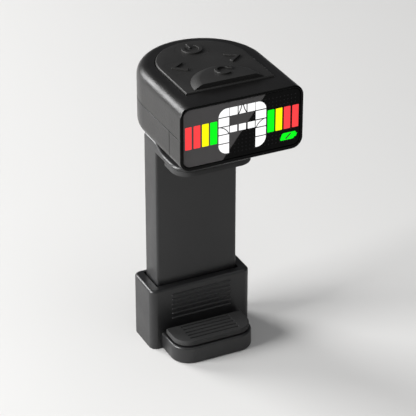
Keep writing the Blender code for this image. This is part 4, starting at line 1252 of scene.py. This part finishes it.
# %% Ribs on the lever
TAB_FACE = 29.92 * MM
lever_places = [(0, TAB_FACE, tab_top - (2.0 + 0.9 * i) * MM) for i in range(5)]
lever_ribs = grow(rib_tree, "lever_ribs", lever_places,
                  {"Length": 5.6 * MM, "Width": 0.42 * MM, "Height": 0.44 * MM, "Material": clamp_grain})
settle(lever_ribs, "lever")

# %% [markdown]
# Six longer ribs across the sleeve's front give the finger that pushes the jaw up a hold.

# %% Ribs on the sleeve's front
sleeve_places = [(0, SLEEVE_FRONT, SLEEVE_TOP - (1.8 + 1.1 * i) * MM) for i in range(6)]
sleeve_ribs = grow(rib_tree, "sleeve_ribs", sleeve_places,
                   {"Length": 13 * MM, "Width": 0.5 * MM, "Height": 0.5 * MM, "Material": clamp_grain})
settle(sleeve_ribs, "jaw")

# %% [markdown]
# The ratchet strip is a nylon bar pressed into the post's back. Its teeth are saw-shaped, so
# the pawl slides over them one way and locks the other way. One tooth is a four-sided outline,
# filled and extruded across the strip. Fill Curve only works flat, so the outline is turned
# down for it and turned up again afterwards.

# %% Tooth tree
RISE, CREST = 0.25, 0.45  # where the tooth's flat tip starts and ends, as shares of the pitch
ROOT = -1.3  # how deep the tooth's foot stands in the bar, as a share of its height


def make_tooth_tree():
    tree = Tree("ratchet_teeth", ["Pitch", "Height", "Width", "Material"])
    pitch, height = tree.size("Pitch"), tree.size("Height")
    rise = tree.add("ShaderNodeMath", {0: pitch}, {1: RISE}, operation="MULTIPLY")
    crest = tree.add("ShaderNodeMath", {0: pitch}, {1: CREST}, operation="MULTIPLY")
    foot_y = tree.add("ShaderNodeMath", {0: height}, {1: ROOT}, operation="MULTIPLY")
    half = tree.add("ShaderNodeMath", {0: tree.size("Width")}, {1: -0.5}, operation="MULTIPLY")
    corners = [(foot_y.outputs[0], None), (None, rise.outputs[0]), (None, crest.outputs[0]),
               (foot_y.outputs[0], pitch)]
    outline = tree.add("GeometryNodeCurvePrimitiveQuadrilateral", mode="POINTS")
    for i, (y, z) in enumerate(corners):
        point = tree.add("ShaderNodeCombineXYZ")
        if y:
            tree.group.links.new(y, point.inputs["Y"])
        if z:
            tree.group.links.new(z, point.inputs["Z"])
        tree.group.links.new(point.outputs[0], outline.inputs[f"Point {i + 1}"])
    turned = tree.add("GeometryNodeTransform", {"Geometry": outline.outputs[0]},
                      {"Rotation": (0, math.radians(90), 0)})
    filled = tree.add("GeometryNodeFillCurve", {"Curve": turned.outputs[0]})
    aside = tree.add("ShaderNodeCombineXYZ", {"X": half.outputs[0]})
    upright = tree.add("GeometryNodeTransform",
                       {"Geometry": filled.outputs[0], "Translation": aside.outputs[0]},
                       {"Rotation": (0, math.radians(-90), 0)})
    across = tree.add("ShaderNodeCombineXYZ", {"X": tree.size("Width")})
    pushed = tree.add("GeometryNodeExtrudeMesh", {"Mesh": upright.outputs[0], "Offset": across.outputs[0]},
                      {"Offset Scale": 1.0, "Individual": False})
    back = tree.add("GeometryNodeFlipFaces", {"Mesh": upright.outputs[0]})
    shell = tree.add("GeometryNodeJoinGeometry")
    tree.group.links.new(back.outputs[0], shell.inputs[0])
    tree.group.links.new(pushed.outputs[0], shell.inputs[0])
    closed = tree.add("GeometryNodeMergeByDistance", {"Geometry": shell.outputs[0]}, {"Distance": 0.001 * MM})
    rows = tree.add("GeometryNodeInstanceOnPoints", {"Points": tree.size("Places"),
                                                     "Instance": closed.outputs[0]})
    tree.close(rows.outputs[0])
    return tree


tooth_tree = make_tooth_tree()
print("tooth tree:", len(tooth_tree.group.nodes), "nodes")

# %% [markdown]
# The strip's length and width come from the frame, and the number of teeth from its length.
# The teeth stand on a plain bar with softened edges.

# %% Ratchet strip
TOOTH_PITCH = 1.5 * MM
TOOTH_HEIGHT = 0.5 * MM
strip_low, strip_high = (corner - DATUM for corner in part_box("ratchet_strip"))
tooth_count = int((strip_high.z - strip_low.z) / TOOTH_PITCH + 0.5)
tooth_places = [(0, POST_BACK, strip_low.z + i * TOOTH_PITCH) for i in range(tooth_count)]
teeth = grow(tooth_tree, "ratchet_teeth", tooth_places,
             {"Pitch": TOOTH_PITCH, "Height": TOOTH_HEIGHT, "Width": strip_high.x - strip_low.x,
              "Material": dark_nylon})
outward = bmesh.new()
outward.from_mesh(teeth.data)
bmesh.ops.recalc_face_normals(outward, faces=outward.faces)
outward.to_mesh(teeth.data)
outward.free()
settle(teeth, "clamp")
bar = rounded_rectangle(strip_low.x, strip_high.x, strip_low.y, POST_BACK - TOOTH_HEIGHT, 0.15 * MM, 4)
strip = loose_object("ratchet_bar", prism(bar, strip_low.z, strip_high.z))
finish_piece(strip, "clamp", [dark_nylon], ["ratchet_strip"], bevel=0.05 * MM)

# %% [markdown]
# Six cross-head screws hold the case, the bracket, the swivel and the end cap. They differ
# only in size, and all point up. The tree rounds a short cylinder with a flattened ball, cuts
# the cross with two crossed blades, and adds the shank.

# %% Screw tree
DOME_SPREAD, DOME_RISE = 1.12, 1.3
BLADE_LONG, BLADE_THIN, BLADE_DEEP = 1.25, 0.24, 1.1


def make_screw_tree():
    tree = Tree("cross_head_screw",
                ["Head Radius", "Head Height", "Shank Radius", "Shank Length", "Material"])
    head_r, head_h = tree.size("Head Radius"), tree.size("Head Height")

    def times(socket, factor):
        return tree.add("ShaderNodeMath", {0: socket}, {1: factor}, operation="MULTIPLY").outputs[0]

    def vector(**parts):
        return tree.add("ShaderNodeCombineXYZ", parts).outputs[0]

    disc = tree.add("GeometryNodeMeshCylinder", {"Radius": head_r, "Depth": head_h}, {"Vertices": 40})
    disc_up = tree.add("GeometryNodeTransform", {"Geometry": disc.outputs[0],
                                                 "Translation": vector(Z=times(head_h, 0.5))})
    ball = tree.add("GeometryNodeMeshUVSphere", {}, {"Segments": 40, "Rings": 20, "Radius": 1.0})
    dome = tree.add("GeometryNodeTransform", {
        "Geometry": ball.outputs[0], "Translation": vector(Z=times(head_h, DOME_RISE)),
        "Scale": vector(X=times(head_r, DOME_SPREAD), Y=times(head_r, DOME_SPREAD),
                        Z=times(head_h, DOME_RISE))})
    head = tree.add("GeometryNodeMeshBoolean", operation="INTERSECT")
    tree.group.links.new(disc_up.outputs[0], head.inputs["Mesh 2"])
    tree.group.links.new(dome.outputs[0], head.inputs["Mesh 2"])
    cross = tree.add("GeometryNodeJoinGeometry")
    for across_x, across_y in ((BLADE_LONG, BLADE_THIN), (BLADE_THIN, BLADE_LONG)):
        size = vector(X=times(head_r, across_x), Y=times(head_r, across_y), Z=times(head_h, BLADE_DEEP))
        blade = tree.add("GeometryNodeMeshCube", {"Size": size})
        tree.group.links.new(blade.outputs[0], cross.inputs[0])
    slot = tree.add("GeometryNodeMeshBoolean", {"Mesh 1": head.outputs[0], "Mesh 2": cross.outputs[0]},
                    operation="DIFFERENCE")
    length = tree.size("Shank Length")
    shank = tree.add("GeometryNodeMeshCylinder", {"Radius": tree.size("Shank Radius"), "Depth": length},
                     {"Vertices": 20})
    lift = tree.add("ShaderNodeMath", {0: head_h, 1: times(length, 0.5)}, operation="ADD")
    shank_up = tree.add("GeometryNodeTransform", {"Geometry": shank.outputs[0],
                                                  "Translation": vector(Z=lift.outputs[0])})
    whole = tree.add("GeometryNodeJoinGeometry")
    tree.group.links.new(slot.outputs[0], whole.inputs[0])
    tree.group.links.new(shank_up.outputs[0], whole.inputs[0])
    rows = tree.add("GeometryNodeInstanceOnPoints", {"Points": tree.size("Places"),
                                                     "Instance": whole.outputs[0]})
    tree.close(rows.outputs[0])
    return tree


screw_tree = make_screw_tree()
print("screw tree:", len(screw_tree.group.nodes), "nodes")

# %% [markdown]
# Each row names its screws' nodes and body, the head's height and the shank's radius in
# millimetres. Place, head radius and length are read from the frame.

# %% Screws
screw_rows = {
    "case_screws": (["case_screw_left", "case_screw_right"], "head", 0.45, 0.6),
    "bracket_screws": (["bracket_screw_left", "bracket_screw_right"], "head", 0.45, 0.5),
    "swivel_bolt": (["swivel_screw"], "turret", 0.5, 0.6),
    "cap_screw": (["end_cap_screw"], "clamp", 0.4, 0.6),
}
for name, (nodes, body, head_height, shank_radius) in screw_rows.items():
    corners = [[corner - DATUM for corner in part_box(node)] for node in nodes]
    places = [((low.x + high.x) / 2, (low.y + high.y) / 2, low.z) for low, high in corners]
    low, high = corners[0]
    screws = grow(screw_tree, name, places, {
        "Head Radius": (high.x - low.x) / 2, "Head Height": head_height * MM,
        "Shank Radius": shank_radius * MM, "Shank Length": high.z - low.z - head_height * MM,
        "Material": nickel_steel})
    settle(screws, body)
    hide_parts(*nodes)

# %% [markdown]
# Behind the window the dark parts of the display show a faint lattice of dots, one for each
# cell of the light guide. They are very thin discs on the window, laid out on a grid. The half
# of the window with the painted grey reflection stays plain, so places left of the slant are skipped.

# %% Dot lattice
def make_dot_tree():
    tree = Tree("dot_lattice", ["Dot Radius", "Thickness", "Material"])
    dot = tree.add("GeometryNodeMeshCylinder", {"Radius": tree.size("Dot Radius"),
                                                "Depth": tree.size("Thickness")}, {"Vertices": 8})
    rows = tree.add("GeometryNodeInstanceOnPoints", {"Points": tree.size("Places"),
                                                     "Instance": dot.outputs[0]},
                    {"Rotation": (math.radians(90), 0, 0)})
    tree.close(rows.outputs[0])
    return tree


lattice_dot = finish("lattice_dot", (0.014, 0.014, 0.015), 0.3, grain=900, depth=0.001, specular=0.1)
DOT_PITCH = 0.80 * MM
LATTICE_HALF_X, LATTICE_HALF_Z, LATTICE_MIDDLE = 11.6 * MM, 5.5 * MM, -6.55 * MM
SLANT_MARGIN = 0.3 * MM
columns = int(LATTICE_HALF_X / DOT_PITCH)
rows = int(LATTICE_HALF_Z / DOT_PITCH)
dot_places = []
for i in range(-columns, columns + 1):
    for j in range(-rows, rows + 1):
        x, z = i * DOT_PITCH, LATTICE_MIDDLE + j * DOT_PITCH
        if x > SLANT_FOOT_X + SLANT * (z - SLANT_FOOT_Z) + SLANT_MARGIN:
            dot_places.append((x, LENS_FACE, z))
dots = grow(make_dot_tree(), "window_dots", dot_places,
            {"Dot Radius": 0.13 * MM, "Thickness": 0.03 * MM, "Material": lattice_dot})
settle(dots, "head")

# %% [markdown]
# Some parts are right as the frame has them: flat boards and films, plain pins, the coil
# spring. They keep their meshes and only take a finish, in every material slot they have.

# %% Finishes for the carried-over parts
carried = {
    "lcd_panel": panel_glass, "backlight_panel": guide_acrylic, "display_flex_strip": flex_film,
    "circuit_board": solder_mask, "controller_chip": black_epoxy, "piezo_sensor": sensor_brass,
    "power_switch": nickel_steel, "left_switch": nickel_steel, "right_switch": nickel_steel,
    "mode_switch": nickel_steel, "positive_contact": nickel_steel,
    "negative_contact": nickel_steel, "tilt_pin": nickel_steel, "lever_pin": nickel_steel,
    "lever_spring": nickel_steel, "end_cap": clamp_grain,
}
for node, material in carried.items():
    for holder in frame["nodes"][node].material_slots:
        holder.material = material
print("carried over:", len(carried), "of", len(frame["nodes"]))

# %% [markdown]
# Black plastic is drawn by its highlights. A soft light from the left shows the side's texture,
# one behind it draws the bright edges, a wide one overhead fills the top, and a weak one in
# front keeps the far side readable. The floor is plain and pale. The display's colours are
# pure, so the picture uses the plain Standard view, which leaves them as they are.

# %% Floor and lights
floor = loose_object("floor", prism(arc((0, 0), 2.5, 0, 355, 71), -0.02, 0))
floor_finish = finish("pale_floor", (0.68, 0.675, 0.665), 0.85, grain=60, depth=0.02, spread=0.03, shade=0.02,
                      specular=0.05)
floor.data.materials.append(floor_finish)


def soft_light(name, place, power, size):
    lamp = bpy.data.lights.new(name, "AREA")
    lamp.energy = power
    lamp.size = size
    obj = bpy.data.objects.new(name, lamp)
    obj.location = place
    obj.rotation_mode = "QUATERNION"
    obj.rotation_quaternion = (middle - Vector(place)).to_track_quat("-Z", "Y")
    bpy.context.scene.collection.objects.link(obj)


soft_light("key_left", (-0.60, 0.05, 0.20), 7.6, 0.35)
soft_light("edge_back_left", (-0.42, 0.66, 0.40), 6.4, 0.36)
soft_light("overhead", (0.05, -0.40, 1.30), 5.4, 1.10)
soft_light("fill_front", (0.30, -0.80, 0.30), 0.3, 0.50)
world = bpy.data.worlds.new("studio")
bpy.context.scene.world = world
world.use_nodes = True
sky = world.node_tree.nodes["Background"]
sky.inputs["Color"].default_value = (0.92, 0.95, 1.0, 1)
sky.inputs["Strength"].default_value = 0.10
bpy.context.scene.view_settings.view_transform = "Standard"
print("lights ready")
